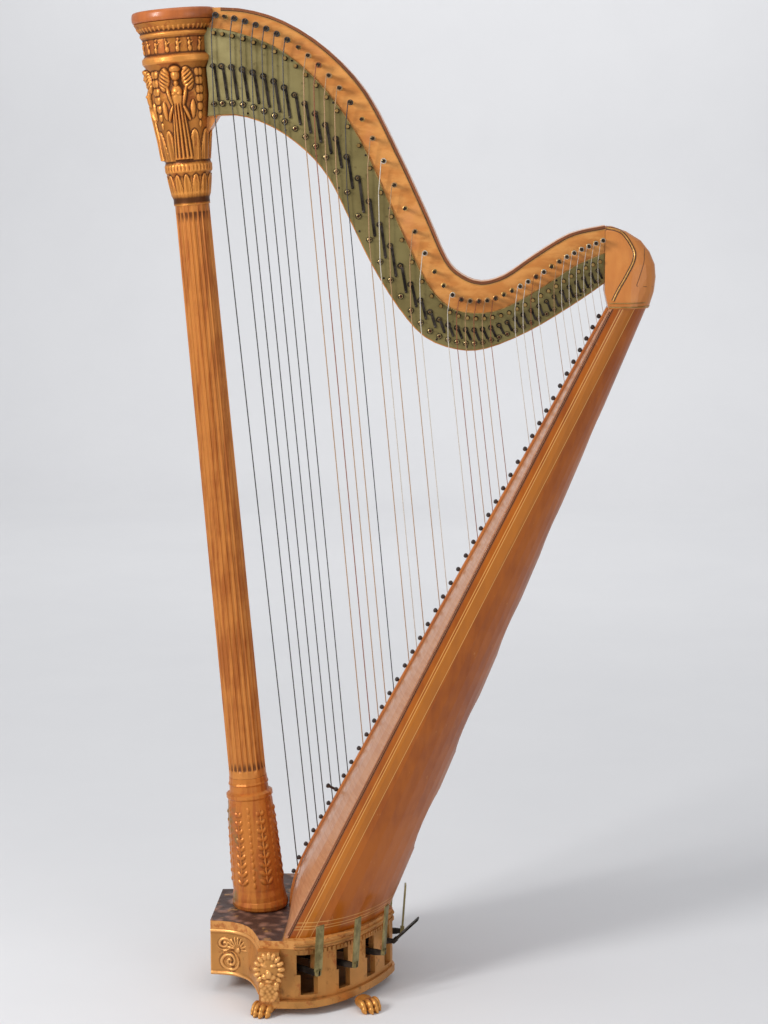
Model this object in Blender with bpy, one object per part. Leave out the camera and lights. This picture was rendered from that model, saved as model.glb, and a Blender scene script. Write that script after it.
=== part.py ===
"""A 43-string double-action pedal harp, in metres, with +Z up.

The harp stands on the plane Z = 0 and its strings lie near the plane Y = 0. The column is on the
-X side, the soundbox on the +X side, and the strings run on the -Y side of the neck, where the
brass action plate, its fork discs and the string ends of the tuning pins are.
"""

from math import asin, atan2, cos, degrees, pi, radians, sin, tan

import bmesh
import bpy
from mathutils import Matrix, Vector

# ------------------------------------------------------------------ driving dimensions
GAP = 0.0003                    # clearance between two pieces that touch

# Base: a block under the column, then a wide bowed box that holds the pedals.
BASE_TOP = 0.133                # height of the base's top face
BASE_BOARD = 0.015              # thickness of the carved top board
BLOCK_BOTTOM = 0.033            # underside of the front block, clear of the floor
BLOCK_LEFT = -0.320             # front end of the block
BLOCK_HALF = 0.086              # half width of the block's front end
CORNER_X = -0.222               # where block and bow meet, at the two carved corners
BOW_HALF = 0.188                # half width of the bow at its widest
BOW_WIDEST_X = -0.160
BOW_BACK_X = -0.002             # back of the bow's wall
BOW_POWER = 0.85                # how pointed the bow is in plan
BASE_WALL = 0.010
FLOOR_BOTTOM = 0.015            # underside of the bottom board
FLOOR_TOP = 0.028
RIM = 0.010                     # how far the bottom board stands out from the wall
PAW_LENGTH, PAW_WIDTH, PAW_HEIGHT = 0.062, 0.044, 0.034

# Column: turned pieces on one axis that leans towards the player's far side.
COLUMN_X = -0.2405              # where the axis meets the base's top
COLUMN_LEAN = radians(4.9)
TORUS_RADIUS, TORUS_HEIGHT = 0.0505, 0.024
PEDESTAL_START, PEDESTAL_END = 0.030, 0.243
SHAFT_END = 1.257
SHAFT_BOTTOM_RADIUS, SHAFT_TOP_RADIUS = 0.0330, 0.0297
CAPITAL_END = 1.566
CORNICE_END = 1.586
CORNICE_RADIUS = 0.0727
COLUMN_BORE = 0.0150
BORE_END = 1.470
COLUMN_SIDES = 24

# Neck, its two plates, and the rows on the left plate.
NECK_HALF = 0.022
NECK_END = 0.360                # where the neck meets the shoulder block
PLATE_THICKNESS = 0.003
STRING_STANDOFF = 0.0085        # the strings' distance from the plate's face
STRING_Y = -(NECK_HALF + PLATE_THICKNESS + STRING_STANDOFF)
NUT_ROW_DROP = 0.009            # bridge nuts below the plate's upper edge
PIN_ROW_RISE = 0.021            # tuning pins above the plate's upper edge
LOW_ROW_RISE = 0.019            # lower discs above the plate's lower edge, in the bass
LOW_ROW_LAST_RISE = 0.008       # and in the treble
PIN_RADIUS, PIN_LEFT, PIN_RIGHT = 0.0032, 0.024, 0.016
NUT_RADIUS = 0.0028
NUT_PAST_STRING = 0.005
CAVITY_TOP, CAVITY_BOTTOM = 0.018, 0.014    # margins of the neck's slot for the action
CAVITY_START, CAVITY_END = -0.298, 0.325    # and its ends

# Soundbox.
BODY_TOP = 1.2120
EDGE_BOTTOM_X, EDGE_SLOPE = -0.172, 0.506   # the soundboard's side edges
BACK_BOTTOM_X, BACK_SLOPE = -0.0085, 0.409  # the back's outline
BODY_HALF_BOTTOM, BODY_HALF_TOP = 0.174, 0.050
SHELL = 0.006
BOARD = 0.005
RIB_HALF, RIB_RISE = 0.0075, 0.004
SOUND_HOLES = 5
SHOULDER_TOP = 1.352
SHOULDER_BACK = 0.44806

# Strings.
STRINGS = 43
MISSING = {2, 9, 15, 19, 22, 23, 30, 31, 36}
WIRE_STRINGS = 8                # the lowest strings are wound wire, the others gut
FIRST_STRING = Vector((-0.181, 0.196))      # the lowest string's peg, as X and Z
BOARD_ANGLE = radians(28.27)                # the soundboard from the vertical
FIRST_SPACING = 0.0289
SPACING_LOSS = 2.565e-8         # closes the spacing towards the treble
PEG_TO_STRING = 0.007

# Pedals: levers that fan out from behind the block to slots in the bow.
FAN = Vector((-0.350, 0.0))     # the point that all eight levers aim at
PIVOT_REACH = 0.075             # from there to each pivot
ROD_REACH = 0.120               # from there to each rod's foot
SPRING_REACH = 0.165
PEDAL_Z = 0.080
LEVER_HALF_WIDTH, LEVER_HALF_HEIGHT = 0.00175, 0.0055
LEVER_OVERHANG = 0.024          # from the wall's outer face to the footplate's hinge
SWELL_OVERHANG = 0.012          # the swell lever is shorter
SWELL_FOOT_LENGTH = 0.062
ARC_MARGIN = radians(2.1)       # how far the rack and the hanger pass the outer levers
FOOT_LENGTH, FOOT_WIDTH, FOOT_THICKNESS = 0.088, 0.017, 0.003
SLOT_X = (-0.137, -0.079, -0.036, -0.010)   # the slots' places along the bow, each side
SLOT_HALF = 0.0155
SLOT_BOTTOM, SLOT_TOP = 0.036, 0.108
SLOT_STEP = 0.005               # sideways step of the notch half way down a slot
ROD_RADIUS = 0.0012
ROD_CIRCLE = 0.0115             # the rods' places around the bore's middle
MOVING_STRINGS = range(1, 8)    # one string for each of the seven pitches
UPPER_DISC_SHARE = 0.54         # the upper disc's place between the lower disc and the nut
DISC_RADIUS, DISC_THICKNESS = 0.0058, 0.002
PRONG_REACH, PRONG_RADIUS, PRONG_LENGTH = 0.0044, 0.0008, 0.0115
PRONG_REST = radians(12)        # at rest the prongs stand clear of the string on each side
ARBOR_RADIUS, ARBOR_LENGTH = 0.0019, 0.012


# ------------------------------------------------------------------ tools
def clear_scene():
    for old in list(bpy.data.objects):
        bpy.data.objects.remove(old)


def material(name, colour, roughness, metallic=0.0):
    made = bpy.data.materials.new(name)
    made.use_nodes = True
    shader = made.node_tree.nodes["Principled BSDF"]
    shader.inputs["Base Color"].default_value = (*colour, 1.0)
    shader.inputs["Roughness"].default_value = roughness
    shader.inputs["Metallic"].default_value = metallic
    return made


def finish_mesh(bm, name):
    """Turns a bmesh of closed bodies into a mesh whose faces all point out."""
    bmesh.ops.recalc_face_normals(bm, faces=bm.faces)
    mesh = bpy.data.meshes.new(name)
    bm.to_mesh(mesh)
    bm.free()
    mesh.shade_smooth()
    mesh.set_sharp_from_angle(angle=radians(35))
    return mesh


def place(name, mesh, finish, parent=None, matrix=None):
    """One sub-part, in the world or under an empty."""
    part = bpy.data.objects.new(name, mesh)
    bpy.context.scene.collection.objects.link(part)
    if finish and not mesh.materials:
        mesh.materials.append(finish)
    if parent:
        part.parent = parent
    if matrix:
        part.matrix_basis = matrix
    return part


def frame_empty(name, matrix):
    empty = bpy.data.objects.new(name, None)
    bpy.context.scene.collection.objects.link(empty)
    empty.matrix_basis = matrix
    return empty


def add_rings(bm, rings, matrix=None):
    """A closed body through rings of points, with a flat cap on each end."""
    if matrix:
        rings = [[matrix @ Vector(point) for point in ring] for ring in rings]
    layers = [[bm.verts.new(point) for point in ring] for ring in rings]
    count = len(layers[0])
    for low, high in zip(layers, layers[1:]):
        for i in range(count):
            j = (i + 1) % count
            bm.faces.new((low[i], low[j], high[j], high[i]))
    bm.faces.new(layers[0][::-1])
    bm.faces.new(layers[-1])


def add_prism_y(bm, outline, low, high):
    """An outline in X and Z, from one Y to another."""
    add_rings(bm, [[(x, y, z) for x, z in outline] for y in (low, high)])


def add_prism_z(bm, outline, low, high):
    """An outline in X and Y, from one Z to another."""
    add_rings(bm, [[(x, y, z) for x, y in outline] for z in (low, high)])


def add_box(bm, low, high, matrix=None):
    corners = [(low[0], low[1]), (high[0], low[1]), (high[0], high[1]), (low[0], high[1])]
    add_rings(bm, [[(x, y, z) for x, y in corners] for z in (low[2], high[2])], matrix)


def circle(radius, sides, turn=0.0):
    angles = [turn + 2 * pi * i / sides for i in range(sides)]
    return [(radius * cos(a), radius * sin(a)) for a in angles]


def add_tube(bm, points, radius, sides):
    """A round bar along points, with flat ends. Each ring is square to the bend it sits in."""
    points = [Vector(point) for point in points]
    side = None
    rings = []
    for i, point in enumerate(points):
        before = (point - points[i - 1]).normalized() if i else None
        after = (points[i + 1] - point).normalized() if i + 1 < len(points) else None
        along = ((before or after) + (after or before)).normalized()
        if side is None:
            side = along.orthogonal().normalized()
        side = (side - along * side.dot(along)).normalized()
        other = along.cross(side)
        rings.append([point + side * x + other * y for x, y in circle(radius, sides)])
    add_rings(bm, rings)


def add_turned(bm, profile, sides, bore=0.0):
    """A body turned about Z from (radius, height) points that run upwards, with an optional bore."""
    rings = [[(x, y, h) for x, y in circle(r, sides)] for r, h in profile]
    if not bore:
        add_rings(bm, rings)
        return
    layers = [[bm.verts.new(point) for point in ring] for ring in rings]
    for height in (profile[-1][1], profile[0][1]):
        layers.append([bm.verts.new((x, y, height)) for x, y in circle(bore, sides)])
    for k, low in enumerate(layers):
        high = layers[(k + 1) % len(layers)]
        for i in range(sides):
            j = (i + 1) % sides
            bm.faces.new((low[i], low[j], high[j], high[i]))


def combined(first, second, operation, name):
    """The exact Boolean of two bmeshes of closed bodies, as a new bmesh. Both inputs are used up."""
    pair = [place(name, finish_mesh(bm, name), None) for bm in (first, second)]
    step = pair[0].modifiers.new(operation.lower(), "BOOLEAN")
    step.operation = operation
    step.solver = "EXACT"
    step.object = pair[1]
    graph = bpy.context.evaluated_depsgraph_get()
    graph.update()
    result = bmesh.new()
    result.from_mesh(pair[0].evaluated_get(graph).to_mesh())
    for helper in pair:
        mesh = helper.data
        bpy.data.objects.remove(helper)
        bpy.data.meshes.remove(mesh)
    return result


def smooth_path(points, steps):
    """A Catmull-Rom curve through the points, with so many steps between each two."""
    ends = [points[0]] + list(points) + [points[-1]]
    knots = [Vector(point) for point in ends]
    path = []
    for a, b, c, d in zip(knots, knots[1:], knots[2:], knots[3:]):
        for i in range(steps):
            t = i / steps
            bend = (2 * a - 5 * b + 4 * c - d) * t**2 + (3 * b - a - 3 * c + d) * t**3
            path.append(b + ((c - a) * t + bend) / 2)
    path.append(knots[-1])
    return path


def offset_path(path, distance, last=None):
    """The path moved square to itself, to the left of its direction for a positive distance.

    The distance changes evenly to the last one, where that is given."""
    start, moved = distance, []
    for i, point in enumerate(path):
        if last is not None:
            distance = start + (last - start) * i / (len(path) - 1)
        along = path[min(i + 1, len(path) - 1)] - path[max(i - 1, 0)]
        left = Vector((-along.y, along.x)).normalized()
        moved.append(point + left * distance)
    return moved


def crossing(path, start, direction):
    """Where the line from a point meets a path, both in X and Z."""
    side = Vector((-direction.y, direction.x))
    for a, b in zip(path, path[1:]):
        p, q = (a - start).dot(side), (b - start).dot(side)
        if p * q <= 0 and p != q:
            return a + (b - a) * (p / (p - q))
    raise ValueError("the line misses the path")


def extended(path, length=0.03):
    """The path with its last stretch carried on straight."""
    return path + [path[-1] + (path[-1] - path[-2]).normalized() * length]


def between(path, low, high):
    """The part of a path whose X lies between two values."""
    ends = [crossing(path, Vector((x, 0)), Vector((0, 1))) for x in (low, high)]
    return [ends[0]] + [point for point in path if low < point.x < high] + [ends[1]]


# ------------------------------------------------------------------ outlines of the neck
NECK_TOP = smooth_path(
    [(-0.345, 1.7150), (-0.262, 1.7150), (-0.186, 1.694), (-0.111, 1.646), (-0.045, 1.575),
     (0.010, 1.472), (0.058, 1.370), (0.090, 1.298), (0.115, 1.270), (0.150, 1.257),
     (0.190, 1.268), (0.240, 1.302), (0.300, 1.338), (NECK_END - GAP, SHOULDER_TOP)], 3)
PLATE_TOP = smooth_path(
    [(-0.345, 1.685), (-0.277, 1.678), (-0.195, 1.648), (-0.121, 1.586), (-0.060, 1.502),
     (-0.016, 1.410), (0.020, 1.330), (0.058, 1.254), (0.095, 1.214), (0.140, 1.203),
     (0.190, 1.212), (0.258, 1.250), (0.310, 1.284), (NECK_END - GAP, 1.306)], 3)
PLATE_BOTTOM = smooth_path(
    [(-0.345, 1.531), (-0.271, 1.539), (-0.206, 1.519), (-0.150, 1.480), (-0.109, 1.433),
     (-0.075, 1.366), (-0.035, 1.285), (0.010, 1.213), (0.055, 1.163), (0.110, 1.142),
     (0.160, 1.144), (0.230, 1.173), (0.300, 1.215), (NECK_END - GAP, 1.256)], 3)
NUT_ROW = extended(offset_path(PLATE_TOP, -NUT_ROW_DROP))
PIN_ROW = extended(offset_path(PLATE_TOP, PIN_ROW_RISE))
LOW_ROW = extended(offset_path(PLATE_BOTTOM, LOW_ROW_RISE, LOW_ROW_LAST_RISE))


# ------------------------------------------------------------------ materials
def make_materials():
    return {
        "gilt": material("worn_gilding", (0.42, 0.20, 0.05), 0.45, 0.35),
        "column": material("gilt_column", (0.33, 0.13, 0.035), 0.4, 0.2),
        "cornice": material("polished_cornice", (0.33, 0.09, 0.03), 0.3),
        "varnish": material("varnished_wood", (0.40, 0.13, 0.03), 0.25),
        "neck": material("neck_veneer", (0.46, 0.17, 0.06), 0.3),
        "board": material("soundboard_spruce", (0.55, 0.30, 0.19), 0.35),
        "carved": material("worn_carving", (0.20, 0.11, 0.07), 0.6),
        "brass": material("olive_brass", (0.35, 0.27, 0.10), 0.35, 0.8),
        "steel": material("dark_steel", (0.06, 0.055, 0.05), 0.4, 0.8),
        "bright": material("rod_steel", (0.42, 0.42, 0.43), 0.3, 0.9),
        "copper": material("copper_spring", (0.45, 0.16, 0.07), 0.35, 0.9),
        "wire": material("wound_wire", (0.20, 0.20, 0.20), 0.3, 0.8),
        "gut": material("gut_string", (0.50, 0.33, 0.16), 0.4),
        "bone": material("peg_wood", (0.05, 0.035, 0.03), 0.35),
    }


# ------------------------------------------------------------------ base
def bow_half_width(x, half):
    reach = (x - BOW_WIDEST_X) / (BOW_BACK_X - BOW_WIDEST_X)
    if reach <= 0:
        return half
    return half * max(0.0, 1 - reach**2) ** BOW_POWER


def bow_side(half, back, front, steps=14):
    """One side of the bow in plan, from the front corner to the back, as X and half width."""
    side = [(front, half)]
    for i in range(steps + 1):
        turn = pi / 2 * i / steps
        reach = sin(turn)
        x = BOW_WIDEST_X + (back - BOW_WIDEST_X) * reach
        side.append((x, half * max(0.0, 1 - reach**2) ** BOW_POWER))
    return side


def mirrored(side):
    """A closed outline from one side that runs front to back and meets the middle at its back."""
    return [(x, -y) for x, y in side] + [(x, y) for x, y in reversed(side) if y > 0]


def block_side(inset):
    """One side of the front block in plan, from its front end to the carved corner."""
    curve = smooth_path([(BLOCK_LEFT, BLOCK_HALF), (-0.280, 0.092), (-0.250, 0.114),
                         (-0.232, 0.152), (CORNER_X, BOW_HALF - 0.004)], 2)
    if not inset:
        return [(p.x, p.y) for p in curve]
    moved = offset_path(curve, -inset)
    moved[0] = Vector((BLOCK_LEFT + inset, BLOCK_HALF - inset))
    return [(min(p.x, CORNER_X), p.y) for p in moved]


def make_base(finish):
    board_bottom = BASE_TOP - BASE_BOARD
    wall_top = board_bottom - GAP
    half = BOW_HALF
    rear = [(x, y) for x, y in bow_side(half, BOW_BACK_X, CORNER_X + GAP)]

    # Carved top board, with the hole that the pedal rods rise through.
    bm = bmesh.new()
    add_prism_z(bm, mirrored(block_side(0) + rear[1:]), board_bottom, BASE_TOP)
    hole = bmesh.new()
    add_rings(hole, [[(COLUMN_X + x, y, z) for x, y in circle(COLUMN_BORE + 0.003, 16)]
                     for z in (board_bottom - 0.01, BASE_TOP + 0.01)])
    bm = combined(bm, hole, "DIFFERENCE", "base_top")
    place("base_top", finish_mesh(bm, "base_top"), finish["carved"])

    # Front block: a tray whose back is open to the bow.
    outer, inner = block_side(0), block_side(BASE_WALL)
    floor_top = BLOCK_BOTTOM + BASE_WALL
    bm = bmesh.new()
    add_prism_z(bm, mirrored_open(outer), BLOCK_BOTTOM, wall_top)
    cavity = bmesh.new()
    inner[-1] = (CORNER_X + 0.02, inner[-1][1])
    add_prism_z(cavity, mirrored_open(inner), floor_top, wall_top + 0.01)
    bm = combined(bm, cavity, "DIFFERENCE", "base_block")
    place("base_block", finish_mesh(bm, "base_block"), finish["gilt"])

    # Bowed wall with its eight stepped slots, and the two carved corner blocks.
    bm = bmesh.new()
    add_prism_z(bm, mirrored(rear), FLOOR_TOP + GAP, wall_top)
    cavity = bmesh.new()
    inside = bow_side(half - BASE_WALL, BOW_BACK_X - BASE_WALL, CORNER_X - 0.02)
    add_prism_z(cavity, mirrored(inside), FLOOR_TOP - 0.01, wall_top + 0.01)
    bm = combined(bm, cavity, "DIFFERENCE", "base_bow")
    for side in (-1, 1):
        for z_low, z_high, depth in ((FLOOR_TOP + GAP, 0.050, 0.010), (0.0497, wall_top, 0.015)):
            edges = sorted((side * (half - 0.004), side * (half + depth)))
            corner = bmesh.new()
            add_box(corner, (CORNER_X + GAP, edges[0], z_low), (-0.186, edges[1], z_high))
            bm = combined(bm, corner, "UNION", "base_bow")
    middle = (SLOT_BOTTOM + SLOT_TOP) / 2
    for pedal in pedals():
        turn = pedal["frame"]
        right, left = (0.0, SLOT_STEP) if pedal["side"] > 0 else (SLOT_STEP, 0.0)
        lift = Matrix.Translation((0, 0, -PEDAL_Z))
        outline = [(right - SLOT_HALF, SLOT_BOTTOM), (SLOT_HALF - left, SLOT_BOTTOM),
                   (SLOT_HALF - left, middle), (SLOT_HALF - right, middle),
                   (SLOT_HALF - right, SLOT_TOP), (left - SLOT_HALF, SLOT_TOP),
                   (left - SLOT_HALF, middle), (right - SLOT_HALF, middle)]
        near, far = pedal["wall"] - 0.035, pedal["wall"] + 0.022
        rings = [[(x, y, z) for y, z in outline] for x in (near, far)]
        slot = bmesh.new()
        add_rings(slot, rings, turn @ lift)
        bm = combined(bm, slot, "DIFFERENCE", "base_bow")
    place("base_bow", finish_mesh(bm, "base_bow"), finish["gilt"])

    # Bottom board, whose edge stands out as a moulding.
    bm = bmesh.new()
    front = CORNER_X + GAP
    plan = bow_side(half + RIM, BOW_BACK_X + 0.004, front)
    add_prism_z(bm, mirrored(plan), FLOOR_BOTTOM, FLOOR_TOP)
    place("base_floor", finish_mesh(bm, "base_floor"), finish["gilt"])

    # Four paw feet, each cut to fit under and against the bottom board.
    plan = [(x + (GAP if i else -GAP), y + GAP) for i, (x, y) in enumerate(plan)]
    for end, x, y, turn in (("front", -0.214, 0.188, 118), ("back", -0.036, 0.158, 52)):
        for name, side in (("left", -1), ("right", 1)):
            bm = bmesh.new()
            place_paw(bm, Matrix.Translation((x, side * y, 0))
                      @ Matrix.Rotation(side * radians(turn), 4, "Z"))
            clear, walls = bmesh.new(), bmesh.new()
            add_prism_z(clear, mirrored(plan), FLOOR_BOTTOM - GAP, 0.2)
            add_prism_z(walls, mirrored_open(block_side(-GAP)), BLOCK_BOTTOM - GAP, 0.2)
            bm = combined(bm, clear, "DIFFERENCE", "paw")
            bm = combined(bm, walls, "DIFFERENCE", "paw")
            name = f"paw_foot_{end}_{name}"
            place(name, finish_mesh(bm, name), finish["gilt"])


def mirrored_open(side):
    """A closed outline from one side whose two ends stay apart."""
    return [(x, -y) for x, y in side] + [(x, y) for x, y in reversed(side)]


def place_paw(bm, matrix):
    """A low dome with a flat sole, longer than it is wide."""
    rings = []
    for level, spread in ((0.0, 0.90), (0.25, 1.0), (0.62, 0.86), (0.90, 0.52), (1.0, 0.22)):
        ring = circle(spread / 2, 12)
        rings.append([(x * PAW_LENGTH, y * PAW_WIDTH, level * PAW_HEIGHT) for x, y in ring])
    add_rings(bm, rings, matrix)


# ------------------------------------------------------------------ column
def column_frame():
    turn = Matrix.Rotation(-COLUMN_LEAN, 4, "Y")
    return Matrix.Translation((COLUMN_X, 0, BASE_TOP)) @ turn


CAPITAL_PROFILE = [
    (0.0312, SHAFT_END + GAP), (0.0312, 1.268), (0.0330, 1.275), (0.0365, 1.306),
    (0.0395, 1.314), (0.0400, 1.326), (0.0385, 1.332), (0.0440, 1.368), (0.0520, 1.410),
    (0.0560, 1.440), (0.0560, 1.485), (0.0600, 1.495), (0.0620, 1.505), (0.0565, 1.512),
    (0.0575, 1.538), (0.0620, 1.545), (0.0650, 1.556), (0.0700, CAPITAL_END)]
CORNICE_PROFILE = [
    (CORNICE_RADIUS - 0.003, CAPITAL_END + GAP), (CORNICE_RADIUS, CAPITAL_END + 0.004),
    (CORNICE_RADIUS, CORNICE_END - 0.004), (CORNICE_RADIUS - 0.004, CORNICE_END)]


def make_column(finish, frame):
    # Pedestal with its foot ring. The ring lies level on the base, the drum leans.
    drum = bmesh.new()
    add_turned(drum, [
        (0.0480, 0.014), (0.0475, 0.026), (0.0455, 0.036), (0.0440, 0.080), (0.0415, 0.150),
        (0.0395, 0.200), (0.0395, 0.204), (0.0415, 0.207), (0.0415, 0.213), (0.0350, 0.217),
        (0.0345, 0.228), (0.0360, 0.231), (0.0345, 0.234), (0.0338, PEDESTAL_END)],
        COLUMN_SIDES)
    drum.transform(column_frame())
    ring = bmesh.new()
    add_turned(ring, [
        (TORUS_RADIUS - 0.005, GAP), (TORUS_RADIUS - 0.001, 0.004), (TORUS_RADIUS, 0.010),
        (TORUS_RADIUS - 0.002, 0.017), (TORUS_RADIUS - 0.006, TORUS_HEIGHT)], COLUMN_SIDES)
    ring.transform(Matrix.Translation((COLUMN_X, 0, BASE_TOP)))
    bm = combined(drum, ring, "UNION", "column_pedestal")
    bore = bmesh.new()
    add_turned(bore, [(COLUMN_BORE + 0.001, -0.02), (COLUMN_BORE + 0.001, 0.3)], 16)
    bore.transform(column_frame())
    bm = combined(bm, bore, "DIFFERENCE", "column_pedestal")
    bm.transform(column_frame().inverted())
    place("column_pedestal", finish_mesh(bm, "column_pedestal"), finish["column"], frame)

    # Reeded shaft, bored for the pedal rods.
    bm = bmesh.new()
    add_turned(bm, [(SHAFT_BOTTOM_RADIUS, PEDESTAL_END + GAP), (SHAFT_TOP_RADIUS, SHAFT_END)],
               COLUMN_SIDES, COLUMN_BORE)
    place("column_shaft", finish_mesh(bm, "column_shaft"), finish["column"], frame)

    # Capital: bored from below, where the rods hand over to the action in the neck.
    bm = bmesh.new()
    add_turned(bm, CAPITAL_PROFILE, COLUMN_SIDES)
    bore = bmesh.new()
    add_turned(bore, [(COLUMN_BORE, SHAFT_END - 0.02), (COLUMN_BORE, BORE_END)], 16)
    bm = combined(bm, bore, "DIFFERENCE", "column_capital")
    place("column_capital", finish_mesh(bm, "column_capital"), finish["gilt"], frame)

    bm = bmesh.new()
    add_turned(bm, CORNICE_PROFILE, COLUMN_SIDES)
    place("capital_cornice", finish_mesh(bm, "capital_cornice"), finish["cornice"], frame)


def capital_clearance():
    """The room that the neck and its plates leave around the capital and its cornice."""
    bm = bmesh.new()
    wide = GAP + 0.0002
    profile = [(r + wide, h) for r, h in CAPITAL_PROFILE[:-1]]
    profile.append((CORNICE_RADIUS + wide, CAPITAL_END - wide))
    profile.append((CORNICE_RADIUS + wide, CORNICE_END + 0.02))
    add_turned(bm, profile, COLUMN_SIDES)
    bm.transform(column_frame())
    return bm


# ------------------------------------------------------------------ neck and plates
def make_neck(finish, strings):
    bottom = offset_path(PLATE_BOTTOM, -0.002)
    bottom[-1] = Vector((NECK_END - GAP, bottom[-1].y))
    bm = bmesh.new()
    add_prism_y(bm, NECK_TOP + bottom[::-1], -NECK_HALF, NECK_HALF)

    # The slot that holds the action, between the two plates.
    slot = bmesh.new()
    upper = between(offset_path(PLATE_TOP, -CAVITY_TOP), CAVITY_START, CAVITY_END)
    lower = between(offset_path(PLATE_BOTTOM, CAVITY_BOTTOM), CAVITY_START, CAVITY_END)
    add_prism_y(slot, upper + lower[::-1], -NECK_HALF - 0.01, NECK_HALF + 0.01)
    bm = combined(bm, slot, "DIFFERENCE", "neck")

    bm = combined(bm, capital_clearance(), "DIFFERENCE", "neck")
    pins = bmesh.new()
    for string in strings:
        add_tube(pins, [on_plate(string["pin"], -NECK_HALF - PIN_LEFT),
                        on_plate(string["pin"], NECK_HALF + PIN_RIGHT)], PIN_RADIUS, 5)
    bm = combined(bm, pins, "UNION", "neck")
    place("neck", finish_mesh(bm, "neck"), finish["neck"])

    inner = NECK_HALF + GAP
    face = inner + PLATE_THICKNESS
    for name, side in (("action_plate_left", -1), ("action_plate_right", 1)):
        bm = bmesh.new()
        ends = sorted((side * inner, side * (inner + PLATE_THICKNESS)))
        add_prism_y(bm, PLATE_TOP + PLATE_BOTTOM[::-1], *ends)
        bm = combined(bm, capital_clearance(), "DIFFERENCE", name)
        if side < 0:
            holes, studs = bmesh.new(), bmesh.new()
            for string in strings:
                root = -inner - PLATE_THICKNESS / 2
                add_tube(studs, [on_plate(string["nut"], root),
                                 on_plate(string["nut"], STRING_Y - NUT_PAST_STRING)],
                         NUT_RADIUS, 5)
                for row in ("upper", "lower"):
                    if string["number"] in MOVING_STRINGS:
                        ends = [on_plate(string[row], y) for y in (-0.05, 0.0)]
                        add_tube(holes, ends, ARBOR_RADIUS + GAP, 8)
                    else:
                        ends = [on_plate(string[row], y) for y in (root, -face - DISC_THICKNESS)]
                        add_tube(studs, ends, string["disc"], 6)
            bm = combined(bm, holes, "DIFFERENCE", name)
            bm = combined(bm, studs, "UNION", name)
        place(name, finish_mesh(bm, name), finish["brass"])


# ------------------------------------------------------------------ soundbox
def board_line_x(z):
    """The string rib's front, along the middle of the soundboard: straight, eased at the foot."""
    straight = FIRST_STRING.x + tan(BOARD_ANGLE) * (z - FIRST_STRING.y)
    foot = BASE_TOP + 0.110
    if z < foot:
        straight += 0.028 * ((foot - z) / 0.110) ** 2
    return straight


def edge_x(z):
    return EDGE_BOTTOM_X + EDGE_SLOPE * (z - BASE_TOP)


def back_x(z):
    return BACK_BOTTOM_X + BACK_SLOPE * (z - BASE_TOP)


def body_half(z):
    share = (z - BASE_TOP) / (BODY_TOP - BASE_TOP)
    return BODY_HALF_BOTTOM + (BODY_HALF_TOP - BODY_HALF_BOTTOM) * share


def body_power(z):
    share = (z - BASE_TOP) / (BODY_TOP - BASE_TOP)
    return 0.76 + (0.56 - 0.76) * share


def body_section(z, inset, steps=9):
    """Half of a level section of the rounded back, from its side edge to the middle of the back."""
    half, power = body_half(z) - inset, body_power(z)
    front, back = edge_x(z), back_x(z) - inset
    side = []
    for i in range(steps + 1):
        reach = sin(pi / 2 * i / steps)
        side.append((front + (back - front) * reach, half * max(0.0, 1 - reach**2) ** power))
    return side


def make_body(finish):
    low, high = BASE_TOP + GAP, BODY_TOP
    levels = [low + (high - low) * i / 8 for i in range(9)]
    bm = bmesh.new()
    layers = []
    for z in levels:
        outer = body_section(z, 0)
        inner = body_section(z, SHELL)
        ring = [(x, -y) for x, y in outer] + [(x, y) for x, y in reversed(outer[:-1])]
        ring += [(x, y) for x, y in inner] + [(x, -y) for x, y in reversed(inner[:-1])]
        layers.append([(x, y, z) for x, y in ring])
    add_rings(bm, layers)
    holes = bmesh.new()
    for i in range(SOUND_HOLES):
        z = 0.300 + 0.175 * i
        half_width, half_height = 0.026 - 0.0036 * i, 0.056 - 0.004 * i
        outline = circle(1.0, 14)
        near, far = back_x(z) - 0.07, back_x(z) + 0.07
        rings = [[(x, half_width * u, z + half_height * v) for u, v in outline]
                 for x in (near, far)]
        add_rings(holes, rings)
    bm = combined(bm, holes, "DIFFERENCE", "body_shell")
    place("body_shell", finish_mesh(bm, "body_shell"), finish["varnish"])

    # Bellied soundboard. It is level across the middle, where the string rib lies.
    foot = [low + rise for rise in (0.0, 0.035, 0.075, 0.110)]
    levels = foot + [foot[-1] + (high - foot[-1]) * i / 6 for i in range(1, 7)]
    thick = BOARD / cos(BOARD_ANGLE)
    bm = bmesh.new()
    layers = []
    for z in levels:
        half = body_half(z) - 0.0005
        middle = board_line_x(z) + RIB_RISE
        fall = edge_x(z) - GAP - 0.001 - thick - middle
        front = [(middle + fall * share**2, half * share) for share in (1.0, 0.75, 0.5, 0.25)]
        front.append((middle, RIB_HALF + 0.001))
        ring = [(x, -y) for x, y in front] + [(x, y) for x, y in reversed(front)]
        ring += [(x + thick, y) for x, y in front] + [(x + thick, -y) for x, y in reversed(front)]
        layers.append([(x, y, z) for x, y in ring])
    add_rings(bm, layers)
    place("soundboard", finish_mesh(bm, "soundboard"), finish["board"])
    return levels


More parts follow.
